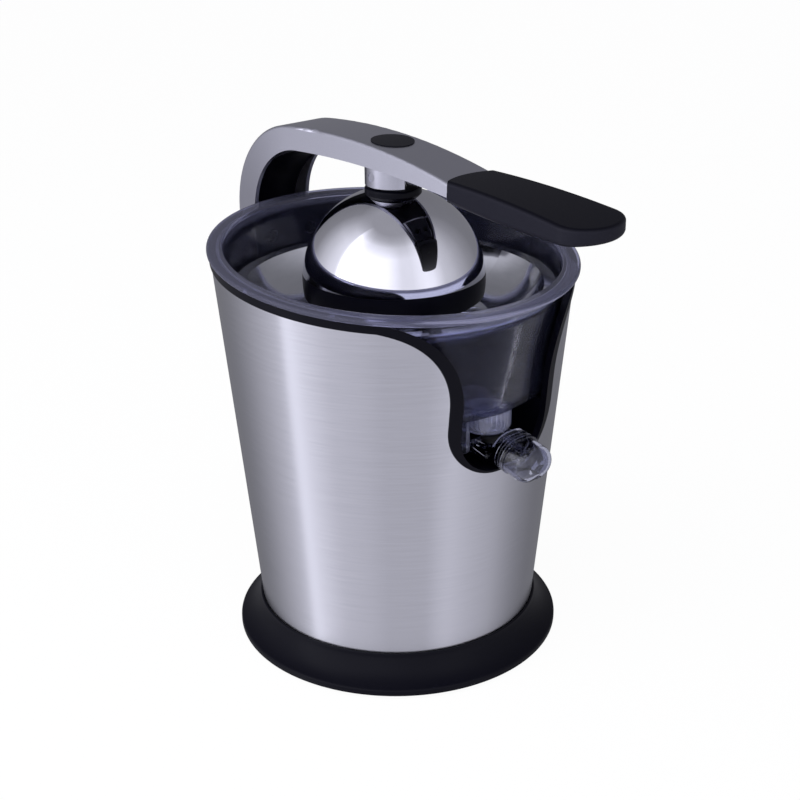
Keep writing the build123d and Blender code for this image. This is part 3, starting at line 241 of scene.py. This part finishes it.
# stainless 430 sheet, belt-brushed round the body: level hairlines that draw lights out into upright streaks.
# Real hairlines are 0.1 mm apart; they are drawn 0.7 mm apart so that they show
brushedSteel = makeFinish("stainless 430 belt-brushed", "#C0C0C7", "#CBCBD2", (0.18, 0.22), 0.7, stretch=(40, 40, 1),
                          bump=0.001, metallic=1.0, Anisotropic=0.92, Anisotropic_Rotation=0.25)
tree = brushedSteel.node_tree
alongBrush = addNode(tree, "ShaderNodeTangent", direction_type="RADIAL", axis="Z")
tree.links.new(alongBrush.outputs[0], tree.nodes["Principled BSDF"].inputs["Tangent"])

# chromium plate on buffed steel: a clean dark-and-light mirror with the faintest haze
chromePlate = makeFinish("chromium plate buffed", "#D8D8DF", "#E0E0E7", (0.03, 0.06), 9.0, metallic=1.0)

# stainless 304 spun and polished: a mirror that is a little soft
polishedSteel = makeFinish("stainless 304 spun polished", "#C4C5CC", "#D2D3DA", (0.06, 0.12), 2.5, stretch=(4, 4, 1),
                           metallic=1.0)

# ABS with silver lacquer: fine metal flake under a satin clear coat
silverLacquer = makeFinish("ABS silver flake lacquer", "#B7B7C2", "#C7C7D2", (0.28, 0.34), 0.5, bump=0.004,
                           metallic=1.0, Coat_Weight=0.15, Coat_Roughness=0.25)

# ABS black, moulded in a spark-eroded tool: even satin black
blackAbs = makeFinish("ABS black satin moulded", "#05050C", "#090912", (0.28, 0.36), 0.6, bump=0.0015,
                      Specular_IOR_Level=0.09)

# soft-touch lacquer over ABS: a dry black with a dull sheen. The flanks are painted a lighter grey than the top, as
# the side light makes them look: painted light. It begins where the surface faces upwards by less than this share
softTouch = makeFinish("ABS soft-touch black lacquer", "#06060D", "#0A0A12", (0.34, 0.42), 0.5, bump=0.004,
                       Specular_IOR_Level=0.06)
paintedFlankLight = {"colour": "#1D1D25", "from": 0.8, "to": 0.3}
tree = softTouch.node_tree
gripColour = tree.nodes["Principled BSDF"].inputs["Base Color"]
facing = addNode(tree, "ShaderNodeSeparateXYZ", {0: addNode(tree, "ShaderNodeTexCoord").outputs["Normal"]})
# painted light: surfaces that face upwards less are painted a lighter grey than the top
paintedLightShare = addNode(tree, "ShaderNodeMapRange", {"Value": facing.outputs["Z"], "From Min": paintedFlankLight["from"],
                                               "From Max": paintedFlankLight["to"]})
paintedFlankTone = addNode(tree, "ShaderNodeMix", {"Factor": paintedLightShare.outputs[0], "A": gripColour.links[0].from_socket,
                                            "B": linear(paintedFlankLight["colour"])}, data_type="RGBA")
tree.links.new(paintedFlankTone.outputs["Result"], gripColour)

# SAN, clear, moulded with a high gloss: colourless on the flat, milky blue-violet in its thick rim. The rim is all that
# stands above the slanted seam with the black trim. The thin wall mirrors little, so the IOR is lower than SAN's 1.57,
# and part of the light passes it unbent
clearSan = makeFinish("SAN clear moulded", "#AEB2E2", "#B8BCE8", (0.02, 0.04), 30.0, IOR=1.25)
rimSeam = {"low": 219.0, "high": 221.5, "colour": "#8A8BA6", "clearWall": 0.985, "clearRim": 0.8, "coverWall": 0.62,
           "coverRim": 1.0}
tree = clearSan.node_tree
clearInputs = tree.nodes["Principled BSDF"].inputs
parts = addNode(tree, "ShaderNodeSeparateXYZ", {0: addNode(tree, "ShaderNodeTexCoord").outputs["Object"]}).outputs
level = addNode(tree, "ShaderNodeMath", {0: parts["Y"], 1: -tan(radians(body["rimTilt"])), 2: parts["Z"]},
                operation="MULTIPLY_ADD")
inRim = addNode(tree, "ShaderNodeMapRange", {"Value": level.outputs[0], "From Min": rimSeam["low"] * mm,
                                             "From Max": rimSeam["high"] * mm}).outputs[0]
rimTone = addNode(tree, "ShaderNodeMix", {"Factor": inRim, "A": clearInputs["Base Color"].links[0].from_socket,
                                          "B": linear(rimSeam["colour"])}, data_type="RGBA")
clearness = addNode(tree, "ShaderNodeMapRange", {"Value": inRim, "To Min": rimSeam["clearWall"],
                                                 "To Max": rimSeam["clearRim"]})
cover = addNode(tree, "ShaderNodeMapRange", {"Value": inRim, "To Min": rimSeam["coverWall"],
                                             "To Max": rimSeam["coverRim"]})
tree.links.new(rimTone.outputs["Result"], clearInputs["Base Color"])
tree.links.new(clearness.outputs[0], clearInputs["Transmission Weight"])
tree.links.new(cover.outputs[0], clearInputs["Alpha"])

# the same SAN, thick, in the spout: a deeper smoke tint and strong bends
smokeSan = makeFinish("SAN clear moulded thick", "#9698AE", "#A2A4B8", (0.02, 0.04), 30.0, Transmission_Weight=1.0,
                      IOR=1.57)

# the same SAN in the fluted sump: its many edges scatter a pale, milky blue
bluedSan = makeFinish("SAN clear moulded fluted", "#C3C6E4", "#CED1EC", (0.03, 0.06), 30.0, Transmission_Weight=0.82,
                      IOR=1.57)

# nitrile rubber, moulded: deep matt black
blackRubber = makeFinish("nitrile rubber moulded", "#0A0A0A", "#111111", (0.6, 0.75), 0.8, bump=0.01)

# zinc-plated steel: bright, slightly cloudy grey
zincSteel = makeFinish("steel zinc-plated", "#A9ACB0", "#BFC2C6", (0.25, 0.38), 1.5, metallic=1.0)

# steel blackened by hot oxide: dark, oily grey of the hinge and grip screws
blackenedSteel = makeFinish("steel black-oxided", "#16161A", "#1E1E22", (0.35, 0.45), 1.2, metallic=1.0)

# sintered bronze: warm brown metal full of fine pores
sinteredBronze = makeFinish("bronze sintered", "#7A5A34", "#A57F4C", (0.35, 0.5), 0.5, bump=0.02, metallic=1.0)

# acetal, moulded: waxy off-white
whiteAcetal = makeFinish("acetal natural moulded", "#D9D7CE", "#E6E4DC", (0.35, 0.45), 1.2, Subsurface_Weight=0.1)

# silicon-iron laminations: dull blue-grey edges stacked 0.5 mm apart
laminatedIron = makeFinish("silicon iron laminated", "#4A4E55", "#767A82", (0.35, 0.5), 0.5, stretch=(60, 60, 1),
                           bump=0.03, metallic=1.0)

# enamelled copper wire, wound: glossy red-brown ridges
woundCopper = makeFinish("copper enamelled wound", "#6E2F12", "#B0602C", (0.2, 0.32), 0.8, stretch=(30, 30, 1),
                         bump=0.12, metallic=1.0)

# glass-filled nylon, moulded: dark grey with a dry, mottled skin
greyNylon = makeFinish("nylon glass-filled moulded", "#2B2C2E", "#3A3B3E", (0.45, 0.6), 1.0, bump=0.02)

# polypropylene, moulded: smooth soft-sheen black of the reamer
reamerPp = makeFinish("polypropylene black moulded", "#0C0C0F", "#121216", (0.3, 0.4), 1.2, bump=0.006,
                      Specular_IOR_Level=0.3)

finishOfSlot = {"brushed_steel": brushedSteel, "polished_steel": polishedSteel, "silver_paint": silverLacquer,
                "black_plastic": blackAbs, "soft_grip": softTouch, "clear_plastic": clearSan, "rubber": blackRubber,
                "plain_steel": zincSteel, "bronze": sinteredBronze, "gear_plastic": whiteAcetal,
                "motor_iron": laminatedIron, "copper_winding": woundCopper, "cast_frame": greyNylon,
                "reamer_plastic": reamerPp}
finishOfNode = {"drip_spout": smokeSan, "grip_screws": blackenedSteel, "press_pin": silverLacquer}  # unlike their slots
slotOfNode = {part["node"]: part["material_slot"] for part in frame["record"]["subparts"]}
for name, node in nodes.items():
    node.data.materials.clear()
    node.data.materials.append(finishOfNode.get(name, finishOfSlot[slotOfNode[name]]))
print("finishes made and given to the frame's nodes")

# pieces: lengths in millimetres, each piece's sizes beside its code
making = {"cornerStep": 15, "sharp": 35, "merge": 1e-7}  # two angles in degrees, then a distance in metres


def wallRadius(height, inset=0.0):
    return body["radius"] + body["draft"] * (height - body["seat"]) - inset


# corners (out, up, radius) of a closed section become points, with each corner rounded
def roundCorners(corners):
    points = []
    for i, (out, up, radius) in enumerate(corners):
        if not radius:
            points.append((out, up))
            continue
        here = Vector((out, up))
        back = (Vector(corners[i - 1][:2]) - here).normalized()
        ahead = (Vector(corners[(i + 1) % len(corners)][:2]) - here).normalized()
        half = back.angle(ahead) / 2
        centre = here + (back + ahead).normalized() * radius / sin(half)
        start = here + back * radius / tan(half) - centre
        end = here + ahead * radius / tan(half) - centre
        first = atan2(start.y, start.x)
        turn = (atan2(end.y, end.x) - first + pi) % (2 * pi) - pi
        steps = max(2, ceil(abs(turn) / radians(making["cornerStep"])))
        for step in range(steps + 1):
            angle = first + turn * step / steps
            points.append((centre.x + radius * cos(angle), centre.y + radius * sin(angle)))
    return points


def arcPoints(radius, centre, first, last, steps):
    angles = [first + (last - first) * step / steps for step in range(steps + 1)]
    return [(radius * cos(angle), centre + radius * sin(angle)) for angle in angles]


# closed section spun about the upright axis; place moves each point afterwards
def spin(section, segments, place=None):
    points, faces = [], []
    count = len(section)
    for i in range(segments):
        angle = 2 * pi * i / segments
        after = (i + 1) % segments
        for j, (out, up) in enumerate(section):
            point = Vector((out * cos(angle), out * sin(angle), up))
            points.append(place(point) if place else point)
            k = (j + 1) % count
            faces.append((i * count + j, after * count + j, after * count + k, i * count + k))
    return points, faces


# outline (y, z) carried from left to right
def slab(outline, left, right):
    count = len(outline)
    points = [Vector((x, y, z)) for x in (left, right) for y, z in outline]
    faces = [(i, (i + 1) % count, (i + 1) % count + count, i + count) for i in range(count)]
    return points, faces + [tuple(range(count)), tuple(range(count, 2 * count))]


def makePiece(name, shapes, finish, sharp=making["sharp"]):
    edit = bmesh.new()
    for points, faces in shapes:
        corners = [edit.verts.new(point * mm) for point in points]
        for face in faces:
            edit.faces.new([corners[i] for i in face])
    bmesh.ops.remove_doubles(edit, verts=edit.verts, dist=making["merge"])
    bmesh.ops.dissolve_degenerate(edit, dist=making["merge"], edges=edit.edges)
    bmesh.ops.recalc_face_normals(edit, faces=edit.faces)
    mesh = bpy.data.meshes.new(name)
    edit.to_mesh(mesh)
    edit.free()
    mesh.shade_smooth()
    mesh.set_sharp_from_angle(angle=radians(sharp))
    mesh.materials.append(finish)
    piece = bpy.data.objects.new(name, mesh)
    bpy.context.scene.collection.objects.link(piece)
    return piece


def cutAway(piece, cutter):
    modifier = piece.modifiers.new("opening", "BOOLEAN")
    modifier.operation = "DIFFERENCE"
    modifier.solver = "EXACT"
    modifier.object = cutter
    mesh = bpy.data.meshes.new_from_object(piece.evaluated_get(bpy.context.evaluated_depsgraph_get()))
    piece.modifiers.clear()
    piece.data = mesh
    bpy.data.objects.remove(cutter)


def settle(piece, bodyName, node):
    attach(piece, bodyName)
    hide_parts(node)


# foot: flared ring with a rolled lip
foot = {"radius": 92.4, "bottom": 1.6, "bottomRound": 0.8, "lipTop": 5.2, "lipRound": 1.5, "collar": 80.43,
        "flareTop": 19.3, "sag": 1.6, "flareSteps": 14, "top": 20.5, "topRound": 0.5, "wall": 1.2, "spigot": 77.5,
        "spigotWall": 2.6, "spigotTop": 26.0, "plateEdge": 89.6, "plateTop": 4.1, "plateSeat": 5.6, "innerRound": 0.3,
        "segments": 192}


def buildFoot():
    low, high = Vector((foot["radius"], foot["lipTop"])), Vector((foot["collar"], foot["flareTop"]))
    bow = (low + high) / 2 - Vector((foot["sag"], foot["sag"]))
    flare = []
    for step in range(1, foot["flareSteps"]):
        share = step / foot["flareSteps"]
        # a parabola through both ends and the hollow's middle
        flare.append(tuple(low * (1 - share) * (1 - 2 * share) + bow * 4 * share * (1 - share)
                           + high * share * (2 * share - 1)) + (0,))
    inner = foot["spigot"] - foot["spigotWall"]
    seat = foot["collar"] - foot["wall"]
    corners = [(foot["radius"], foot["bottom"], foot["bottomRound"]),
               (foot["radius"], foot["lipTop"], foot["lipRound"]), *flare,
               (foot["collar"], foot["flareTop"], 0), (foot["collar"], foot["top"], foot["topRound"]),
               (seat, foot["top"], foot["innerRound"]), (seat, body["seat"], 0), (foot["spigot"], body["seat"], 0),
               (foot["spigot"], foot["spigotTop"], foot["topRound"]), (inner, foot["spigotTop"], foot["topRound"]),
               (inner, body["seat"] - foot["spigotWall"], 0),
               (foot["plateEdge"] - foot["plateSeat"], foot["plateTop"], 0), (foot["plateEdge"], foot["plateTop"], 0),
               (foot["plateEdge"], foot["bottom"], foot["innerRound"])]
    piece = makePiece("moulded_foot", [spin(roundCorners(corners), foot["segments"])], blackAbs)
    settle(piece, "base", "base_foot")


buildFoot()

# sump: fluted cup under the opening in the bowl's floor, with an outlet and the two lugs that carry the spout's pin
sump = {"y": -73.0, "radius": 13.5, "wall": 2.2, "bottom": 144.35, "top": 155.95, "bottomRound": 2.5, "edgeRound": 0.3,
        "innerBevel": 1.5, "flutes": 28, "fluteDepth": 0.35, "fluteFrom": 3.0, "fluteTo": 1.0, "outlet": 4.5,
        "outletAhead": 5.0, "lugFrom": 12.6, "lugTo": 15.1, "eye": 4.5, "eyeSteps": 12, "pinY": -70.0, "pinZ": 136.0,
        "segments": 224}


def fluteAndSet(point):
    out = Vector((point.x, point.y, 0))
    inner = sump["radius"] - sump["wall"]
    ahead = sump["outletAhead"] * min(max((inner - out.length) / (inner - sump["outlet"]), 0), 1)
    onWall = out.length < sump["radius"] - sump["wall"] / 2
    if onWall and sump["bottom"] + sump["fluteFrom"] < point.z < sump["top"] - sump["fluteTo"]:
        out *= 1 - sump["fluteDepth"] / out.length * (1 + cos(sump["flutes"] * atan2(out.y, out.x)))
    return out + Vector((0, sump["y"] - ahead, point.z))


def buildSump():
    inner, low, high = sump["radius"] - sump["wall"], sump["bottom"], sump["top"]
    floor, bevel, edge = low + sump["wall"], sump["innerBevel"], sump["edgeRound"]
    cup = [(sump["outlet"], low, edge), (sump["radius"], low, sump["bottomRound"]), (sump["radius"], high, edge),
           (inner, high, edge), (inner, high - bevel, 0), (inner, floor + bevel, 0), (inner - bevel, floor, 0),
           (sump["outlet"], floor, edge)]
    shapes = [spin(roundCorners(cup), sump["segments"], fluteAndSet)]
    angles = [pi + pi * i / sump["eyeSteps"] for i in range(sump["eyeSteps"] + 1)]
    eye = [(sump["pinY"] + sump["eye"] * cos(a), sump["pinZ"] + sump["eye"] * sin(a)) for a in angles]
    lug = [(sump["pinY"] - sump["eye"], high), *eye, (sump["pinY"] + sump["eye"], high)]
    for side in (-1, 1):
        shapes.append(slab(lug, *sorted((side * sump["lugFrom"], side * sump["lugTo"]))))
    settle(makePiece("fluted_sump", shapes, bluedSan), "base", "juice_bowl")


buildSump()

# bowl: clear wall, ledge, chimney and floor in one spun section; its rim leans with the steel's slanted edge
bowl = {"gap": 5.0, "wall": 2.2, "floor": 156.0, "floorRound": 2.0, "basinRound": 3.0, "flange": 100.0,
        "flangeThick": 3.0, "flangeRound": 1.3, "neckRound": 0.8, "mouthRound": 1.2, "ledge": 205.9,
        "ledgeRadius": 84.0, "ledgeThick": 2.3, "ledgeRound": 0.5, "ledgeFillet": 0.4, "chimney": 21.0,
        "chimneyWall": 2.0, "chimneyTop": 198.0, "chimneyRound": 0.6, "leanStart": 207.0, "leanEnd": 220.0,
        "leanSteps": 5, "segments": 256, "drainBelow": 1.0, "drainSegments": 96}


def leanRim(point):
    share = min(max((point.z - bowl["leanStart"]) / (bowl["leanEnd"] - bowl["leanStart"]), 0), 1)
    lift = tan(radians(body["rimTilt"])) * point.y * share
    out = Vector((point.x, point.y, 0))
    if out.length < bowl["flange"] - 2 * bowl["flangeRound"]:
        out *= 1 + body["draft"] * lift / out.length
    return out + Vector((0, 0, point.z + lift))


def toSump(point):
    return point + Vector((0, sump["y"], 0))


def buildBowl():
    gap, wall, floor = bowl["gap"], bowl["wall"], bowl["floor"]
    thin = gap + wall
    top = body["trimTop"] + bowl["flangeThick"]
    rise = [bowl["leanStart"] + (bowl["leanEnd"] - bowl["leanStart"]) * i / bowl["leanSteps"]
            for i in range(bowl["leanSteps"] + 1)]
    ledge, ledgeRound = bowl["ledge"], bowl["ledgeRound"]
    under = ledge - bowl["ledgeThick"]
    bore = bowl["chimney"] - bowl["chimneyWall"]
    corners = [(wallRadius(floor, gap), floor, bowl["floorRound"]), *[(wallRadius(z, gap), z, 0) for z in rise],
               (wallRadius(body["trimTop"], gap), body["trimTop"], bowl["neckRound"]),
               (bowl["flange"], body["trimTop"], bowl["flangeRound"]), (bowl["flange"], top, bowl["flangeRound"]),
               (wallRadius(top, thin), top, bowl["mouthRound"]), *[(wallRadius(z, thin), z, 0) for z in reversed(rise)],
               (wallRadius(ledge, thin), ledge, bowl["ledgeFillet"]), (bowl["ledgeRadius"], ledge, ledgeRound),
               (bowl["ledgeRadius"], under, ledgeRound), (wallRadius(under, thin), under, ledgeRound),
               (wallRadius(floor + wall, thin), floor + wall, bowl["basinRound"]),
               (bowl["chimney"], floor + wall, bowl["floorRound"]),
               (bowl["chimney"], bowl["chimneyTop"], bowl["chimneyRound"]),
               (bore, bowl["chimneyTop"], bowl["chimneyRound"]), (bore, floor, ledgeRound)]
    piece = makePiece("clear_bowl", [spin(roundCorners(corners), bowl["segments"], leanRim)], clearSan)
    drain = sump["radius"] - sump["wall"]
    low, high = floor - bowl["drainBelow"], floor + 2 * wall
    hole = [(0, low), (drain, low), (drain, high), (0, high)]
    cutAway(piece, makePiece("drain_cutter", [spin(hole, bowl["drainSegments"], toSump)], clearSan))
    settle(piece, "base", "juice_bowl")


buildBowl()

# press dome: chromed shell over a black cup whose lip is rolled out flush below it, and a black collar on top
dome = {"radius": 49.6, "centre": 208.5, "wall": 1.0, "neck": 4.0, "edge": 212.5, "lip": 199.5, "lipRise": 0.8,
        "lipTuck": 0.9, "play": 0.1, "edgeGap": 0.15, "cupWall": 2.4, "collar": 15.2, "collarTop": 259.2,
        "collarRound": 1.2, "collarGap": 0.05, "steps": 40, "lipSteps": 12, "collarSteps": 8, "segments": 192,
        "collarSegments": 96}


def buildPress():
    centre, outer, neck = dome["centre"], dome["radius"], dome["neck"]
    steps, segments = dome["steps"], dome["segments"]
    skin = outer - dome["wall"]
    edge = asin((dome["edge"] - centre) / outer)
    shell = arcPoints(outer, centre, edge, acos(neck / outer), steps)
    shell += arcPoints(skin, centre, acos(neck / skin), edge, steps)
    settle(makePiece("chromed_dome", [spin(shell, segments)], chromePlate), "press", "press_dome")
    lined, hollow = skin - dome["play"], skin - dome["play"] - dome["cupWall"]
    low = asin((dome["lip"] - centre + dome["lipRise"]) / outer)
    seam = asin((dome["edge"] - dome["edgeGap"] - centre) / outer)
    inside = asin((dome["lip"] - centre) / hollow)
    cup = [(outer * cos(low) - dome["lipTuck"], dome["lip"])] + arcPoints(outer, centre, low, seam, dome["lipSteps"])
    cup += arcPoints(lined, centre, seam, acos(neck / lined), steps)
    cup += arcPoints(hollow, centre, acos(neck / hollow), inside, steps)
    settle(makePiece("black_cup", [spin(cup, segments)], blackAbs), "press", "press_cup")
    seat = outer + dome["collarGap"]
    ring = arcPoints(seat, centre, acos(neck / seat), acos(dome["collar"] / seat), dome["collarSteps"])
    ring = [(out, up, 0) for out, up in ring]
    ring += [(dome["collar"], dome["collarTop"], dome["collarRound"]), (neck, dome["collarTop"], 0)]
    collar = makePiece("black_collar", [spin(roundCorners(ring), dome["collarSegments"])], blackAbs)
    settle(collar, "press", "press_collar")


buildPress()

# return spring: round wire coil, built at rest; the press that shortens it towards its seat is not made here
spring = {"radius": 7.4, "wire": 0.6, "turns": 4, "steps": 36, "sides": 10, "sharp": 50, "seat": 104.3, "stroke": 2.5}


def buildSpring():
    low, high = (corner[2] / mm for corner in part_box("return_spring"))
    count, sides, wire = spring["turns"] * spring["steps"], spring["sides"], spring["wire"]
    points, faces = [], [tuple(range(sides)), tuple(range(count * sides, (count + 1) * sides))]
    for i in range(count + 1):
        around = 2 * pi * i / spring["steps"]
        height = low + wire + (high - low - 2 * wire) * i / count
        for j in range(sides):
            angle = 2 * pi * j / sides
            out = spring["radius"] + wire * cos(angle)
            points.append(Vector((out * cos(around), out * sin(around), height + wire * sin(angle))))
            if i < count:
                here, beside = i * sides + j, i * sides + (j + 1) % sides
                faces.append((here, beside, beside + sides, here + sides))
    piece = makePiece("coiled_return_spring", [(points, faces)], zincSteel, sharp=spring["sharp"])
    settle(piece, "output", "return_spring")
    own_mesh(piece)


buildSpring()
print("spun pieces and spring built")

# screws: pan heads with a cross recess and a rolled thread, set out by Geometry Nodes.
# A set's places are (x, y, z) of each head's seat, and its turn starts from a head that faces +Z
screwSets = {"base_screws": {"head": 3.2, "headHeight": 0.95, "shank": 2.0, "length": 11.7, "turn": (pi, 0, 0),
                             "finish": zincSteel,
                             "places": [(56, 0, 2.85), (0, 56, 2.85), (-56, 0, 2.85), (0, -56, 2.85)]},
             "gearbox_screws": {"head": 3.5, "headHeight": 2.2, "shank": 2.0, "length": 35.0, "turn": (0, 0, 0),
                                "finish": zincSteel,
                                "places": [(40.31, 40.31, 99), (-40.31, 40.31, 99),
                                           (-40.31, -40.31, 99), (40.31, -40.31, 99)]},
             "deck_screws": {"head": 3.5, "headHeight": 2.2, "shank": 2.0, "length": 24.0, "turn": (pi, 0, 0),
                             "finish": zincSteel,
                             "places": [(48, 0, 96), (0, 48, 96), (-48, 0, 96), (0, -48, 96)]},
             "hinge_screws": {"head": 3.5, "headHeight": 2.2, "shank": 2.0, "length": 5.6, "turn": (pi / 2, 0, 0),
                              "finish": blackenedSteel,
                              "places": [(14, 91.89, 188.5), (-14, 91.89, 188.5),
                                         (14, 94.28, 213.5), (-14, 94.28, 213.5)]}}
# shares of a head's radius and height and of the shank's radius; the thread's step is in millimetres
screwForm = {"face": 0.9, "rings": (0.12, 0.2, 0.3, 0.42, 0.5, 0.58, 0.66), "shoulder": (0.85, 0.78), "rim": 0.45,
             "threadStep": 0.8, "root": 0.86, "tip": 0.5, "recess": 0.6, "arm": 0.13, "depth": 0.55, "recessFrom": 0.8,
             "segments": 48, "sharp": 40}


def screwShape(size):
    head, height, shank, length = size["head"], size["headHeight"], size["shank"], size["length"]
    section = [(head * share, height * screwForm["face"]) for share in (0, *screwForm["rings"])]
    section += [(head * screwForm["shoulder"][0], height * screwForm["shoulder"][1]), (head, height * screwForm["rim"]),
                (head, 0), (shank, 0)]
    turns = int(length / screwForm["threadStep"])
    for i in range(turns):
        section.append((shank * (screwForm["root"] if i % 2 else 1.0), -length * (i + 0.5) / turns))
    section += [(shank * screwForm["tip"], -length), (0, -length)]

    def sink(point):
        inside = point.x ** 2 + point.y ** 2 < (head * screwForm["recess"]) ** 2
        onArm = min(abs(point.x), abs(point.y)) < head * screwForm["arm"]
        if inside and onArm and point.z > height * screwForm["recessFrom"]:
            return point - Vector((0, 0, height * screwForm["depth"]))
        return point

    return spin(section, screwForm["segments"], sink)


def buildScrewTree():
    tree = bpy.data.node_groups.new("screws at places", "GeometryNodeTree")
    for name, kind in (("Places", "Geometry"), ("Screw", "Object"), ("Turn", "Rotation"), ("Finish", "Material")):
        tree.interface.new_socket(name, in_out="INPUT", socket_type="NodeSocket" + kind)
    tree.interface.new_socket("Screws", in_out="OUTPUT", socket_type="NodeSocketGeometry")
    given = addNode(tree, "NodeGroupInput").outputs
    one = addNode(tree, "GeometryNodeObjectInfo", {"Object": given["Screw"]})
    placed = addNode(tree, "GeometryNodeInstanceOnPoints", {"Points": given["Places"], "Rotation": given["Turn"],
                                                            "Instance": one.outputs["Geometry"]})
    real = addNode(tree, "GeometryNodeRealizeInstances", {"Geometry": placed.outputs[0]})
    done = addNode(tree, "GeometryNodeSetMaterial", {"Geometry": real.outputs[0], "Material": given["Finish"]})
    addNode(tree, "NodeGroupOutput", {"Screws": done.outputs[0]})
    return tree


def buildScrews():
    tree = buildScrewTree()
    socketOf = {item.name: item.identifier for item in tree.interface.items_tree if item.in_out == "INPUT"}
    for node, size in screwSets.items():
        one = makePiece(node + " one", [screwShape(size)], size["finish"], sharp=screwForm["sharp"])
        spots = bpy.data.meshes.new(node + " places")
        spots.from_pydata([Vector(place) * mm for place in size["places"]], [], [])
        holder = bpy.data.objects.new(node + " places", spots)
        bpy.context.scene.collection.objects.link(holder)
        modifier = holder.modifiers.new("screws", "NODES")
        modifier.node_group = tree
        modifier[socketOf["Screw"]] = one
        modifier[socketOf["Turn"]] = size["turn"]
        modifier[socketOf["Finish"]] = size["finish"]
        graph = bpy.context.evaluated_depsgraph_get()
        mesh = bpy.data.meshes.new_from_object(holder.evaluated_get(graph))
        bpy.data.objects.remove(holder)
        bpy.data.objects.remove(one)
        piece = bpy.data.objects.new("detailed_" + node, mesh)
        bpy.context.scene.collection.objects.link(piece)
        settle(piece, "base", node)
        print(node, len(mesh.polygons), "faces")


buildScrews()
print("screws set out")
